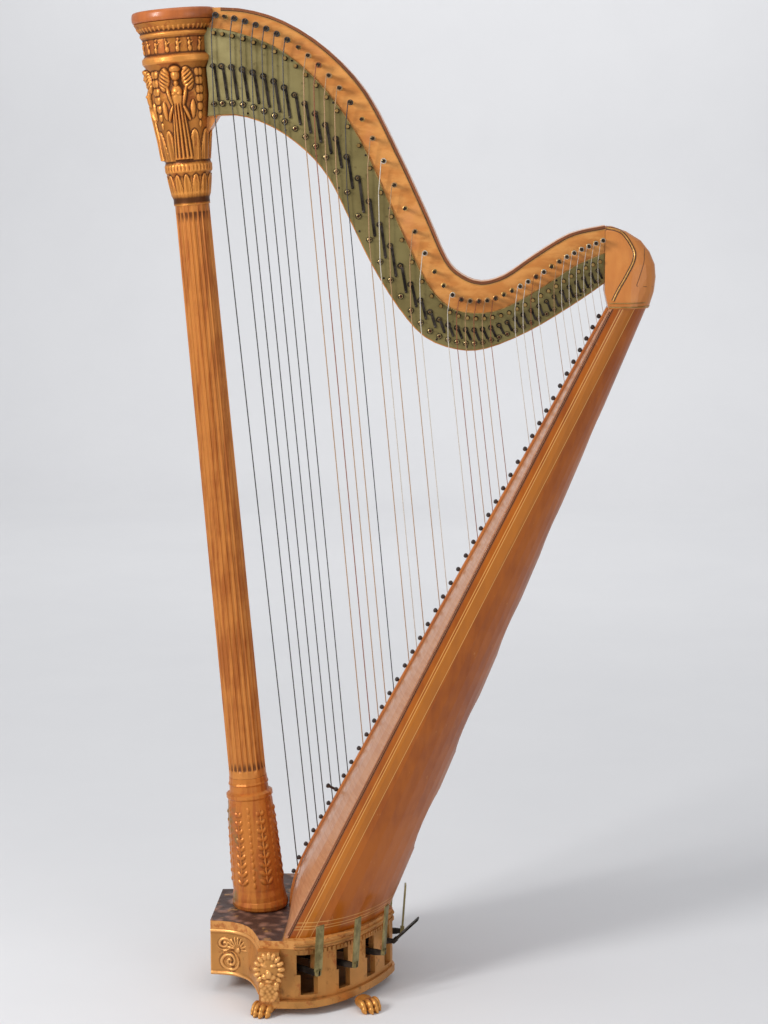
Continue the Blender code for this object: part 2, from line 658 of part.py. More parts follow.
def make_strings(finish, strings, levels):
    """The rib down the soundboard's middle, with the pegs and the strings that stand in it."""
    bm = bmesh.new()
    layers = []
    for z in levels:
        front, back = board_line_x(z), board_line_x(z) + RIB_RISE - GAP - 0.0001
        ring = [(front, 0.001 - RIB_HALF), (front, RIB_HALF - 0.001), (back, RIB_HALF),
                (back, -RIB_HALF)]
        layers.append([(x, y, z) for x, y in ring])
    add_rings(bm, layers)
    across = Vector((-cos(BOARD_ANGLE), 0, sin(BOARD_ANGLE)))
    pegs, wires = bmesh.new(), bmesh.new()
    for string in strings:
        hole = Vector((string["peg"].x, 0, string["peg"].y))
        add_tube(pegs, [hole - across * 0.0015, hole + across * 0.0055], 0.0036, 5)
        if string["number"] + 1 in MISSING:
            continue
        radius = string["radius"]
        past_pin = string["pin"] + Vector((-PIN_RADIUS - radius - GAP, 0))
        start = Vector((string["foot"].x, 0, string["foot"].y)) - across * 0.0015
        path = [start, on_plate(string["lower"], STRING_Y), on_plate(string["above"], STRING_Y),
                on_plate(past_pin, STRING_Y - 0.004)]
        add_tube(wires, path, radius, 4)
    bm = combined(bm, pegs, "UNION", "strung_rib")
    bm = combined(bm, wires, "UNION", "strung_rib")
    place("strung_rib", finish_mesh(bm, "strung_rib"), finish["gut"])


def make_shoulder(finish):
    """The block that joins the neck to the top of the soundbox, rounded over at the back."""
    outline = smooth_path([(SHOULDER_BACK - 0.011, BODY_TOP + GAP), (0.4455, 1.240),
                           (SHOULDER_BACK, 1.264), (0.4460, 1.286), (0.437, 1.307),
                           (0.422, 1.326), (0.396, 1.342), (0.372, 1.3505)], 1)
    bm = bmesh.new()
    layers = []
    for i, point in enumerate(outline):
        z, back = point.y, point.x
        front = 0.367 if z < 1.24 else NECK_END + GAP
        share = (z - BODY_TOP) / (SHOULDER_TOP - BODY_TOP)
        half = BODY_HALF_TOP - 0.0005 + (NECK_HALF - BODY_HALF_TOP) * min(1.0, share * 1.15)
        if i == len(outline) - 1:
            half -= 0.004
        side = [(front, half)]
        for k in range(7):
            reach = sin(pi / 2 * k / 6)
            start = front + 0.35 * (back - front)
            side.append((start + (back - start) * reach, half * max(0.0, 1 - reach**2) ** 0.5))
        layers.append([(x, y, z) for x, y in mirrored(side)])
    add_rings(bm, layers)
    place("shoulder", finish_mesh(bm, "shoulder"), finish["varnish"])


# ------------------------------------------------------------------ strings and their fittings
def string_angle(index):
    """A string's lean from the vertical, least near the eleventh string."""
    return radians(5.05 + 0.0052 * (index - 10) ** 2)


def string_layout():
    """For each string: its number, radius, and the X and Z of everything that it meets."""
    up_board = Vector((sin(BOARD_ANGLE), cos(BOARD_ANGLE)))
    strings = []
    for index in range(STRINGS):
        peg = FIRST_STRING + up_board * (FIRST_SPACING * index - SPACING_LOSS * index**4)
        peg.x = board_line_x(peg.y)
        foot = peg + up_board * PEG_TO_STRING
        lean = string_angle(index)
        low = crossing(LOW_ROW, foot, Vector((-sin(lean), cos(lean))))
        above = crossing(NUT_ROW, low, Vector((-sin(radians(1.2)), cos(radians(1.2)))))
        radius = 0.0010 - 0.0006 * index / (STRINGS - 1)
        nut = above + Vector((NUT_RADIUS + radius + GAP, 0))
        strings.append({"number": index, "radius": radius, "peg": peg, "foot": foot,
                        "lower": low, "upper": low.lerp(above, UPPER_DISC_SHARE),
                        "above": above, "nut": nut})
    for index, string in enumerate(strings):
        after = strings[min(index + 1, STRINGS - 1)]["nut"].x
        before = strings[max(index - 1, 0)]["nut"].x
        room = (after - before) / (2 if 0 < index < STRINGS - 1 else 1)
        string["disc"] = min(DISC_RADIUS, 0.36 * room)
        start = string["nut"] + Vector((min(0.0040, 0.33 * room), 0))
        string["pin"] = crossing(PIN_ROW, start, Vector((0.02, 1)))
    return strings


def on_plate(point, y):
    return (point.x, y, point.y)


def make_fork_discs(finish, strings):
    """The discs that turn: an arbor through the plate, and two prongs that flank the string."""
    face = -(NECK_HALF + GAP + PLATE_THICKNESS + GAP)
    for string in strings:
        if string["number"] not in MOVING_STRINGS:
            continue
        for row in ("upper", "lower"):
            centre = string[row]
            name = f"fork_disc_{row}_{pitch_of(string['number'])}"
            bm = bmesh.new()
            add_tube(bm, [(0, 0, 0), (0, -DISC_THICKNESS, 0)], string["disc"], 10)
            for side in (-1, 1):
                x = side * PRONG_REACH * cos(PRONG_REST)
                z = side * PRONG_REACH * sin(PRONG_REST)
                prong = bmesh.new()
                add_tube(prong, [(x, -0.001, z), (x, -PRONG_LENGTH, z)], PRONG_RADIUS, 4)
                bm = combined(bm, prong, "UNION", name)
            arbor = bmesh.new()
            add_tube(arbor, [(0, -0.001, 0), (0, ARBOR_LENGTH, 0)], ARBOR_RADIUS, 8)
            bm = combined(bm, arbor, "UNION", name)
            at = Matrix.Translation((centre.x, face, centre.y))
            place(name, finish_mesh(bm, name), finish["steel"], None, at)


def pitch_of(number):
    """Strings count up from the lowest C."""
    return "CDEFGAB"[number % 7].lower()


# ------------------------------------------------------------------ pedals
def pedals():
    """The eight pedals in order along the bow: three and the swell on one side, four on the other."""
    names = {(-1, 0): "d", (-1, 1): "c", (-1, 2): "b", (-1, 3): "swell",
             (1, 3): "e", (1, 2): "f", (1, 1): "g", (1, 0): "a"}
    found = []
    for (side, place_index), name in names.items():
        x = SLOT_X[place_index]
        slot = Vector((x, side * bow_half_width(x, BOW_HALF)))
        heading = slot - FAN
        turn = atan2(heading.y, heading.x)
        pivot = FAN + heading.normalized() * PIVOT_REACH
        frame = Matrix.Translation((pivot.x, pivot.y, PEDAL_Z)) @ Matrix.Rotation(turn, 4, "Z")
        found.append({"name": name, "side": side, "turn": turn, "frame": frame,
                      "wall": heading.length - PIVOT_REACH})
    return found


def lever_mesh(length):
    """A flat bar on edge, with a pivot eye at the origin and a hinge eye at its outer end."""
    half, eye = LEVER_HALF_WIDTH, 0.0042
    outline = [(-0.008, -0.004), (0.006, -LEVER_HALF_HEIGHT), (length - 0.012, -LEVER_HALF_HEIGHT),
               (length - eye, -eye)]
    outline += [(length + eye * sin(a), -eye * cos(a)) for a in
                [pi * (i + 0.5) / 6 for i in range(6)]]
    outline += [(length - eye, eye), (length - 0.012, LEVER_HALF_HEIGHT),
                (0.006, LEVER_HALF_HEIGHT), (-0.008, 0.004)]
    bm = bmesh.new()
    add_prism_y(bm, outline, -half, half)
    for x, radius in ((0.0, 0.0017), (length, 0.0018)):
        hole = bmesh.new()
        add_tube(hole, [(x, -0.01, 0), (x, 0.01, 0)], radius, 8)
        bm = combined(bm, hole, "DIFFERENCE", "pedal")
    return bm


def footplate_mesh(height):
    """A brass sole with two cheeks and a hinge pin, standing up from its hinge at the origin."""
    inner = LEVER_HALF_WIDTH + GAP
    bm = bmesh.new()
    start = 0.0052
    add_box(bm, (-FOOT_THICKNESS / 2, -FOOT_WIDTH / 2, start),
            (FOOT_THICKNESS / 2, FOOT_WIDTH / 2, height))
    for side in (-1, 1):
        cheek = bmesh.new()
        ends = sorted((side * inner, side * (inner + 0.0025)))
        outline = [(-0.0035, -0.0025), (0, -0.0035), (0.0035, -0.0025), (0.0035, 0.008),
                   (-0.0035, 0.008)]
        add_prism_y(cheek, outline, *ends)
        bm = combined(bm, cheek, "UNION", "footplate")
    pin = bmesh.new()
    reach = inner + 0.001
    add_tube(pin, [(0, -reach, 0), (0, reach, 0)], 0.0014, 8)
    return combined(bm, pin, "UNION", "footplate")


def add_arc_bar(bm, radius, half_width, low, high, reach):
    """A bar around the fan point that spans the levers' headings."""
    turns = [-reach + 2 * reach * i / 12 for i in range(13)]
    edge = [(FAN.x + r * cos(a), r * sin(a)) for r, order in
            ((radius - half_width, turns), (radius + half_width, turns[::-1])) for a in order]
    add_prism_z(bm, edge, low, high)


def make_pedals(finish):
    floor, roof = BLOCK_BOTTOM + BASE_WALL + GAP, BASE_TOP - BASE_BOARD - GAP
    reach = max(abs(pedal["turn"]) for pedal in pedals()) + ARC_MARGIN
    rack, hanger = bmesh.new(), bmesh.new()
    add_arc_bar(rack, PIVOT_REACH, 0.006, floor, floor + 0.006, reach)
    add_arc_bar(hanger, SPRING_REACH, 0.006, roof - 0.005, roof, reach)
    for pedal in pedals():
        frame, name = pedal["frame"], pedal["name"]
        length = pedal["wall"] + (SWELL_OVERHANG if name == "swell" else LEVER_OVERHANG)
        height = SWELL_FOOT_LENGTH if name == "swell" else FOOT_LENGTH
        mesh = finish_mesh(lever_mesh(length), f"pedal_{name}")
        lever = place(f"pedal_{name}", mesh, finish["steel"], None, frame)
        lean = radians(45) if name == "swell" else radians(4)
        kind = "steel" if name == "swell" else "brass"
        hinge = Matrix.Translation((length, 0, 0)) @ Matrix.Rotation(lean, 4, "Y")
        place(f"footplate_{name}", finish_mesh(footplate_mesh(height), f"footplate_{name}"),
              finish[kind], lever, hinge)
        inner, outer, low, web = 0.0025, 0.0049, floor + 0.003 - PEDAL_Z, -0.0095
        fork = [(-outer, low), (outer, low), (outer, 0.004), (inner, 0.004), (inner, web),
                (-inner, web), (-inner, 0.004), (-outer, 0.004)]
        bracket, pin = bmesh.new(), bmesh.new()
        add_rings(bracket, [[(x, y, z) for y, z in fork] for x in (-0.0032, 0.0032)], frame)
        middle = (inner + outer) / 2
        add_tube(pin, [frame @ Vector((0, y, 0)) for y in (-middle, middle)], 0.0012, 8)
        bracket = combined(bracket, pin, "UNION", "pedal_rack")
        rack = combined(rack, bracket, "UNION", "pedal_rack")
        spring = SPRING_REACH - PIVOT_REACH
        ends = [(spring, 0, LEVER_HALF_HEIGHT + GAP), (spring, 0, roof - 0.003 - PEDAL_Z)]
        coil = bmesh.new()
        add_tube(coil, [frame @ Vector(point) for point in ends], 0.0042, 8)
        hanger = combined(hanger, coil, "UNION", "spring_hanger")
    place("pedal_rack", finish_mesh(rack, "pedal_rack"), finish["bright"])
    place("spring_hanger", finish_mesh(hanger, "spring_hanger"), finish["copper"])


ROD_PLACES = {"a": 165, "g": 140, "f": 115, "e": 78, "b": 245, "c": 220, "d": 195}


def make_rods(finish):
    """Seven rods in the column, each with a foot that reaches out to its pedal's lever."""
    axis = column_frame()
    for pedal in pedals():
        if pedal["name"] not in ROD_PLACES:
            continue
        angle = radians(ROD_PLACES[pedal["name"]])
        x, y = ROD_CIRCLE * cos(angle), ROD_CIRCLE * sin(angle)
        if pedal["name"] == "e":
            x, y = 0.0035, 0.0095
        top = axis @ Vector((x, y, BORE_END - 0.030))
        low = axis @ Vector((x, y, -0.020))
        reach = ROD_REACH - PIVOT_REACH + (0.007 if pedal["name"] == "e" else 0.0)
        touch = pedal["frame"] @ Vector((reach, 0, LEVER_HALF_HEIGHT + GAP))
        knee = touch + Vector((0, 0, 0.012))
        bm = bmesh.new()
        add_tube(bm, [touch, knee, low, top], ROD_RADIUS, 6)
        name = f"pedal_rod_{pedal['name']}"
        place(name, finish_mesh(bm, name), finish["bright"])


# ------------------------------------------------------------------ the whole harp
def main():
    clear_scene()
    finish = make_materials()
    frame = frame_empty("column_axis", column_frame())
    strings = string_layout()
    make_base(finish)
    make_column(finish, frame)
    make_neck(finish, strings)
    levels = make_body(finish)
    make_strings(finish, strings, levels)
    make_shoulder(finish)
    make_fork_discs(finish, strings)
    make_pedals(finish)
    make_rods(finish)


main()
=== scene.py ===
"""Looks of a 43-string pedal harp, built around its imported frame, in metres."""

from math import atan2, cos, exp, pi, radians, sin, sqrt, tan

import bmesh
import bpy
import numpy as np
from mathutils import Matrix, Vector
from mathutils.bvhtree import BVHTree


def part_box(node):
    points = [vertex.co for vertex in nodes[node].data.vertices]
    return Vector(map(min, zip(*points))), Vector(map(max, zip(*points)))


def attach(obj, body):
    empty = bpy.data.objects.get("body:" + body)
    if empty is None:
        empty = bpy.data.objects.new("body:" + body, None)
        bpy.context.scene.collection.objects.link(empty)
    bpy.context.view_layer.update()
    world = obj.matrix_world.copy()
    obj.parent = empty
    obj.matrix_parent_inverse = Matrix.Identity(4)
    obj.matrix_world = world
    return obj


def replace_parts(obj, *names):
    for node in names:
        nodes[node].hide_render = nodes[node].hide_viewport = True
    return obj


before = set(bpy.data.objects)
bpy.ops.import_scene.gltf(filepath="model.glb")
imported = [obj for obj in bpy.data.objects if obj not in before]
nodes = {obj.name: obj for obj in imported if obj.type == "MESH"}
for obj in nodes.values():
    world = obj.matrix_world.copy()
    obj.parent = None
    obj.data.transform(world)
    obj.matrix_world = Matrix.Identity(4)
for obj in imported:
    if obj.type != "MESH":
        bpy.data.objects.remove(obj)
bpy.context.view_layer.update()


# ---------------------------------------------------------------- bottom board and its finish
# The bottom board is a bowed plank under the pedal box, gessoed and gilded over red clay. Years of
# feet have rubbed the leaf back to the clay and left brown dirt in it.
class Field:
    """A value that varies over a surface. Sums and products of fields add their Math nodes."""

    def __init__(self, finish, socket):
        self.finish = finish
        self.socket = socket

    def math(self, operation, *values):
        return self.finish.node("ShaderNodeMath", {"operation": operation},
                                dict(enumerate(values)))

    def __add__(self, other):
        return self.math("ADD", self, other)

    def __sub__(self, other):
        return self.math("SUBTRACT", self, other)

    def __rsub__(self, other):
        return self.math("SUBTRACT", other, self)

    def __mul__(self, other):
        return self.math("MULTIPLY", self, other)

    __radd__ = __add__
    __rmul__ = __mul__

    def size(self):
        return self.math("ABSOLUTE", self)

    def most(self, other):
        return self.math("MAXIMUM", self, other)

    def rise(self, low, high):
        """0 below low and 1 above high, with a soft step between."""
        return self.finish.node("ShaderNodeMapRange", {"interpolation_type": "SMOOTHSTEP"},
                                {"Value": self, "From Min": low, "From Max": high})

    def fall(self, low, high):
        return 1 - self.rise(low, high)


class Finish:
    """One material. node() adds any shader node from its type, settings and socket values."""

    def __init__(self, name, roughness=0.4, metallic=0.0, coat=0.0):
        self.material = bpy.data.materials.new(name)
        self.material.use_nodes = True
        self.tree = self.material.node_tree
        self.shader = self.tree.nodes["Principled BSDF"]
        self.feed(self.shader, "Roughness", roughness)
        self.feed(self.shader, "Metallic", metallic)
        self.feed(self.shader, "Coat Weight", coat)
        self.shader.inputs["Coat Roughness"].default_value = 0.12
        self.shader.inputs["Specular IOR Level"].default_value = 0.32

    def feed(self, node, key, value):
        socket = node.inputs[key]
        if isinstance(value, Field):
            self.tree.links.new(value.socket, socket)
        elif isinstance(value, tuple) and len(value) == 3 and socket.type == "RGBA":
            socket.default_value = (*value, 1.0)
        else:
            socket.default_value = value

    def node(self, kind, settings, values, output=0):
        made = self.tree.nodes.new(kind)
        for key, value in settings.items():
            setattr(made, key, value)
        for key, value in values.items():
            self.feed(made, key, value)
        return Field(self, made.outputs[output])

    def where(self):
        return self.node("ShaderNodeTexCoord", {}, {}, "Object")

    def axis(self, name):
        return self.node("ShaderNodeSeparateXYZ", {}, {0: self.where()}, name)

    def noise(self, scale, detail=5.0, stretch=(1.0, 1.0, 1.0), tilt=(0.0, 0.0, 0.0)):
        placed = self.node("ShaderNodeMapping", {},
                           {"Vector": self.where(), "Scale": stretch, "Rotation": tilt})
        return self.node("ShaderNodeTexNoise", {},
                         {"Vector": placed, "Scale": scale, "Detail": detail, "Roughness": 0.6})

    def mixed(self, mask, first, second):
        return self.node("ShaderNodeMix", {"data_type": "RGBA"},
                         {0: mask, 6: first, 7: second}, 2)

    def hollow(self):
        """How deep a carved piece is at this point, from 0 on its high points to 1."""
        return self.node("ShaderNodeAttribute", {"attribute_name": "hollow"}, {}, "Fac")

    def paint(self, colour, height=None, depth=0.001, strength=0.5):
        self.feed(self.shader, "Base Color", colour)
        if height is not None:
            bump = self.node("ShaderNodeBump", {},
                             {"Strength": strength, "Distance": depth, "Height": height})
            self.feed(self.shader, "Normal", bump)
        return self.material


def gilded(name, leaf, clay, dirt_and_shade, wear=0.56, carved=False):
    """Leaf over red clay over gesso, worn in patches, dirty, with painted shade in carved hollows and
    painted highlight on high points.
    """
    finish = Finish(name, metallic=0.55)
    patches = finish.noise(26.0, 6.0)
    specks = finish.noise(190.0, 4.0)
    rubbed = (patches * 0.75 + specks * 0.25).rise(wear, wear + 0.10)
    cloudy = finish.mixed(finish.noise(9.0, 3.0).rise(0.35, 0.7), leaf,
                          tuple(0.66 * part for part in leaf))
    colour = finish.mixed(rubbed, cloudy, clay)
    if carved:
        # On carved pieces the hollows are painted dark (dirt and painted shade), and the high points
        # paler (rubbed leaf and painted highlight).
        hollow = finish.hollow()
        deep = (finish.noise(60.0, 5.0) - 0.5) * 0.35 + hollow
        rubbed_highlight = (leaf[0] * 1.35, leaf[1] * 1.5, leaf[2] * 1.8)
        colour = finish.mixed(hollow.fall(0.10, 0.36) * 0.8, colour, rubbed_highlight)
        colour = finish.mixed(deep.rise(0.42, 0.95) * 0.95, colour, dirt_and_shade)
    else:
        colour = finish.mixed(finish.noise(60.0, 5.0).rise(0.55, 0.75) * 0.6, colour, dirt_and_shade)
    finish.feed(finish.shader, "Roughness", specks * 0.25 + 0.26 + rubbed * 0.2)
    return finish.paint(colour, specks * 0.5 + patches, 0.0012, 0.45)


# The brown is real dirt on flat gilding, and dirt with painted shade in carved hollows.
GOLD, RED_CLAY, BROWN_DIRT_AND_SHADE = (0.60, 0.270, 0.072), (0.38, 0.125, 0.034), (0.110, 0.036, 0.010)
base_gilding = gilded("base_gilding", GOLD, RED_CLAY, BROWN_DIRT_AND_SHADE, 0.53)


def dress(node, material):
    """Puts a finish on a node of the frame."""
    nodes[node].data.materials.clear()
    nodes[node].data.materials.append(material)


for board in ("base_floor", "base_block", "base_bow"):
    dress(board, base_gilding)


# ---------------------------------------------------------------- paw feet
# Four carved animal paws stand the harp off the floor. Each is one block of wood, cut to four toes
# with claws, gilded, and screwed up into the bottom board.
def finished(name, mesh, material, body="frame", angle=40):
    """An object from a mesh, on its body, with its finish."""
    piece = bpy.data.objects.new(name, mesh)
    bpy.context.scene.collection.objects.link(piece)
    mesh.materials.clear()
    mesh.materials.append(material)
    mesh.shade_smooth()
    mesh.set_sharp_from_angle(angle=radians(angle))
    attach(piece, body)
    return piece


CHISEL_GRAIN, CHISEL_DEPTH = 0.0011, 0.0016


def add_lump(bm, centre, radii, turn=0.0, tilt=0.0):
    """An egg of wood that a carving is built up from."""
    place = (Matrix.Translation(centre) @ Matrix.Rotation(turn, 4, "Z")
             @ Matrix.Rotation(tilt, 4, "Y") @ Matrix.Diagonal((*radii, 1.0)))
    bmesh.ops.create_icosphere(bm, subdivisions=3, radius=1.0, matrix=place)


def carved_mesh(name, bm):
    """Lumps fused into one carving with a grain no finer than the chisel's."""
    raw = bpy.data.meshes.new(name)
    bm.to_mesh(raw)
    bm.free()
    helper = bpy.data.objects.new(name + "_lumps", raw)
    bpy.context.scene.collection.objects.link(helper)
    fuse = helper.modifiers.new("fuse", "REMESH")
    fuse.mode = "VOXEL"
    fuse.voxel_size = CHISEL_GRAIN
    ease = helper.modifiers.new("ease", "SMOOTH")
    ease.factor = 0.5
    ease.iterations = 2
    graph = bpy.context.evaluated_depsgraph_get()
    mesh = bpy.data.meshes.new_from_object(helper.evaluated_get(graph))
    bpy.data.objects.remove(helper)
    mesh.name = name
    shade_hollows(mesh, CHISEL_DEPTH)
    return mesh


def shade_hollows(mesh, reach, rounds=10):
    """Marks how deep each point lies among its neighbours, for the dirt and the painted shade put
    there.
    """
    count = len(mesh.vertices)
    places, normals = np.empty(count * 3), np.empty(count * 3)
    ends = np.empty(len(mesh.edges) * 2, int)
    mesh.vertices.foreach_get("co", places)
    mesh.vertices.foreach_get("normal", normals)
    mesh.edges.foreach_get("vertices", ends)
    places, ends = places.reshape(-1, 3), ends.reshape(-1, 2)
    shares = np.bincount(ends.ravel(), minlength=count)[:, None]
    eased = places.copy()
    for _ in range(rounds):
        total = np.zeros_like(eased)
        np.add.at(total, ends[:, 0], eased[ends[:, 1]])
        np.add.at(total, ends[:, 1], eased[ends[:, 0]])
        eased = total / shares
    depth = ((eased - places) * normals.reshape(-1, 3)).sum(1) / reach
    marks = mesh.attributes.new("hollow", "FLOAT", "POINT")
    marks.data.foreach_set("value", np.clip(0.38 + depth, 0, 1).astype(np.float32))


# The paws are carved, so their hollows get dirt with painted shade and their high points a painted
# highlight.
paw_gilding = gilded("paw_gilding", (0.50, 0.205, 0.040), (0.33, 0.11, 0.03), (0.07, 0.024, 0.008),
                     0.50, carved=True)
PALM, TOE = (0.020, 0.0165, 0.0120), (0.0115, 0.0053, 0.0080)
KNUCKLE, CLAW = (0.0060, 0.0050, 0.0068), (0.0040, 0.0024, 0.0033)
for end, x, y, heading in (("front", -0.214, 0.188, 118), ("back", -0.036, 0.158, 52)):
    for side, sign in (("left", -1), ("right", 1)):
        lumps = bmesh.new()
        turn = sign * radians(heading)
        ahead = Vector((cos(turn), sin(turn), 0))
        across = Vector((-sin(turn), cos(turn), 0))
        middle = Vector((x, sign * y, 0))
        add_lump(lumps, middle - ahead * 0.010 + Vector((0, 0, 0.0125)), PALM, turn)
        for slide, reach, drop in ((-0.0150, 0.011, 0.0), (-0.0052, 0.018, 0.001),
                                   (0.0052, 0.018, 0.001), (0.0150, 0.011, 0.0)):
            toe = middle + ahead * (reach - 0.008) + across * slide
            add_lump(lumps, toe + Vector((0, 0, 0.0140 + drop)), TOE, turn, 0.35)
            tip = toe + ahead * 0.0075
            add_lump(lumps, tip + Vector((0, 0, 0.0070)), KNUCKLE, turn)
            claw = tip + ahead * 0.0040
            add_lump(lumps, claw + Vector((0, 0, 0.0035)), CLAW, turn, 0.5)
        node = f"paw_foot_{end}_{side}"
        paw = finished(f"carved_{node}", carved_mesh(node, lumps), paw_gilding)
        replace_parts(paw, node)


# ---------------------------------------------------------------- front block's carved sides
# Each hollow side of the front block has a gilded scroll and palmette in low relief, cast in
# composition and glued on, with a plain rib along its top and its foot.
def meshed(name, bm):
    """A closed mesh whose faces all look outwards."""
    bmesh.ops.recalc_face_normals(bm, faces=bm.faces)
    mesh = bpy.data.meshes.new(name)
    bm.to_mesh(mesh)
    bm.free()
    return mesh


def relief_skin(name, at, across, up, height, inner, wrap=False):
    """A thin carved sheet. at(u, v, lift) gives its points, and height(u, v) how far it stands up."""
    bm = bmesh.new()
    outer = [[bm.verts.new(at(u, v, height(u, v))) for u in across] for v in up]
    back = [[bm.verts.new(at(u, v, -inner)) for u in across] for v in up]
    last = len(across) if wrap else len(across) - 1
    for j in range(len(up) - 1):
        for i in range(last):
            k = (i + 1) % len(across)
            bm.faces.new((outer[j][i], outer[j][k], outer[j + 1][k], outer[j + 1][i]))
            bm.faces.new((back[j][i], back[j + 1][i], back[j + 1][k], back[j][k]))
    for i in range(last):
        k = (i + 1) % len(across)
        bm.faces.new((outer[0][i], back[0][i], back[0][k], outer[0][k]))
        bm.faces.new((outer[-1][i], outer[-1][k], back[-1][k], back[-1][i]))
    if not wrap:
        for j in range(len(up) - 1):
            bm.faces.new((outer[j][0], outer[j + 1][0], back[j + 1][0], back[j][0]))
            bm.faces.new((outer[j][-1], back[j][-1], back[j + 1][-1], outer[j + 1][-1]))
    mesh = meshed(name, bm)
    shade_hollows(mesh, CHISEL_DEPTH)
    return mesh


def spread(low, high, count):
    """Evenly spaced values from low to high, both included."""
    return [low + (high - low) * i / (count - 1) for i in range(count)]


def mound(u, v, centre, radii, tall, lean=0.0):
    """A low rounded rise of a carving, at a point of it."""
    x, y = u - centre[0], v - centre[1]
    a, b = x * cos(lean) + y * sin(lean), y * cos(lean) - x * sin(lean)
    inside = 1.0 - (a / radii[0]) ** 2 - (b / radii[1]) ** 2
    return tall * sqrt(inside) if inside > 0 else 0.0


def scroll(u, v, centre, radius, turns, width, tall, flip=1.0):
    """A raised spiral line."""
    x, y = (u - centre[0]) * flip, v - centre[1]
    reach = sqrt(x * x + y * y)
    if reach > radius or reach < 0.001:
        return 0.0
    phase = atan2(y, x) / (2 * pi)
    wound = turns * reach / radius
    off = (wound - phase + 0.5) % 1.0 - 0.5
    line = 1.0 - (off * radius / turns / width) ** 2
    return tall * sqrt(line) if line > 0 else 0.0


def smooth_path(points, steps):
    """A Catmull-Rom curve through the points."""
    knots = [Vector(point) for point in [points[0]] + list(points) + [points[-1]]]
    path = []
    for a, b, c, d in zip(knots, knots[1:], knots[2:], knots[3:]):
        for i in range(steps):
            t = i / steps
            bend = (2 * a - 5 * b + 4 * c - d) * t**2 + (3 * b - a - 3 * c + d) * t**3
            path.append(b + ((c - a) * t + bend) / 2)
    path.append(knots[-1])
    return path


BLOCK_SIDE = smooth_path([(-0.3195, 0.086), (-0.280, 0.092), (-0.250, 0.114), (-0.232, 0.152),
                          (-0.2225, 0.183)], 8)


def along(path, share):
    """A point at a share of a path's points, with the left-hand normal there."""
    place = share * (len(path) - 1)
    i = min(int(place), len(path) - 2)
    step = path[i + 1] - path[i]
    return path[i] + step * (place - i), Vector((-step.y, step.x)).normalized()


BLOCK_LENGTH = sum((b - a).length for a, b in zip(BLOCK_SIDE, BLOCK_SIDE[1:]))
# Carved gilding: dirt with painted shade in the hollows, and a painted highlight on the high points.
carved_gilding = gilded("carved_gilding", GOLD, RED_CLAY, BROWN_DIRT_AND_SHADE, 0.55, carved=True)


def block_carving(u, v):
    """Two plain ribs, a large and a small scroll, and a palmette of nine leaves round a boss."""
    s = u * BLOCK_LENGTH
    tall = 0.0026 * (exp(-((v - 0.0365) / 0.0028) ** 2) + exp(-((v - 0.1140) / 0.0030) ** 2))
    tall = max(tall, scroll(s, v, (0.034, 0.060), 0.0195, 2.2, 0.0027, 0.0024))
    tall = max(tall, scroll(s, v, (0.025, 0.091), 0.0125, 1.7, 0.0023, 0.0021, -1.0))
    for turn in range(-4, 5):
        tilt = 0.36 * turn
        tip = (0.050 + 0.0150 * sin(tilt), 0.083 + 0.0150 * cos(tilt))
        tall = max(tall, mound(s, v, tip, (0.0023, 0.0085), 0.0025, -tilt))
    return 0.0004 + max(tall, mound(s, v, (0.050, 0.082), (0.0050, 0.0050), 0.0030))


for side, sign in (("left", -1), ("right", 1)):
    def on_block(u, v, lift, sign=sign):
        point, normal = along(BLOCK_SIDE, u)
        point = point + normal * lift
        return (point.x, sign * point.y, v)

    sheet = relief_skin(f"block_carving_{side}", on_block, spread(0.0, 1.0, 150),
                        spread(0.0335, 0.1175, 90), block_carving, 0.0008)
    finished(f"block_carving_{side}", sheet, carved_gilding, angle=60)


# ---------------------------------------------------------------- corner masks
# A generic lion's mask with a leafy mane covers each corner where block and bow meet. It is carved
# in one piece and gilded, and its mane runs down to the paw below it.
MASK_GROWTH = 1.25
for side, sign in (("left", -1), ("right", 1)):
    lumps = bmesh.new()
    out = Vector((0.0, sign, 0.0))
    face = Vector((-0.2035, sign * 0.2015, 0.086))

    def lump_at(x, rise, proud, radii, tilt=0.0):
        add_lump(lumps, face + Vector((x, 0, rise)) * MASK_GROWTH + out * proud,
                 (radii[0] * MASK_GROWTH, radii[1], radii[2] * MASK_GROWTH), 0.0, tilt)

    lump_at(0.0, 0.0, 0.000, (0.0150, 0.0075, 0.0190))
    lump_at(0.0, -0.005, 0.0070, (0.0048, 0.0050, 0.0062))
    lump_at(-0.0052, -0.009, 0.0055, (0.0050, 0.0042, 0.0040))
    lump_at(0.0052, -0.009, 0.0055, (0.0050, 0.0042, 0.0040))
    lump_at(-0.0060, 0.007, 0.0050, (0.0052, 0.0038, 0.0026), 0.3)
    lump_at(0.0060, 0.007, 0.0050, (0.0052, 0.0038, 0.0026), -0.3)
    lump_at(0.0, -0.0155, 0.0040, (0.0055, 0.0038, 0.0030))
    for k in range(13):
        turn = radians(-40 + 260 * k / 12)
        lump_at(0.0165 * cos(turn), 0.0200 * sin(turn), 0.0010,
                (0.0062, 0.0055, 0.0036), -turn)
    for k in range(6):
        drop = -0.022 - 0.0040 * k
        for shift in (-0.0085, 0.0, 0.0085):
            lump_at(shift * (1.0 - 0.05 * k) + 0.0022 * sin(2.1 * k + 90 * shift), drop, 0.0005,
                    (0.0044, 0.0045, 0.0052), 0.5 * sin(1.7 * k))
    mask = carved_mesh(f"corner_mask_{side}", lumps)
    finished(f"corner_mask_{side}", mask, carved_gilding)


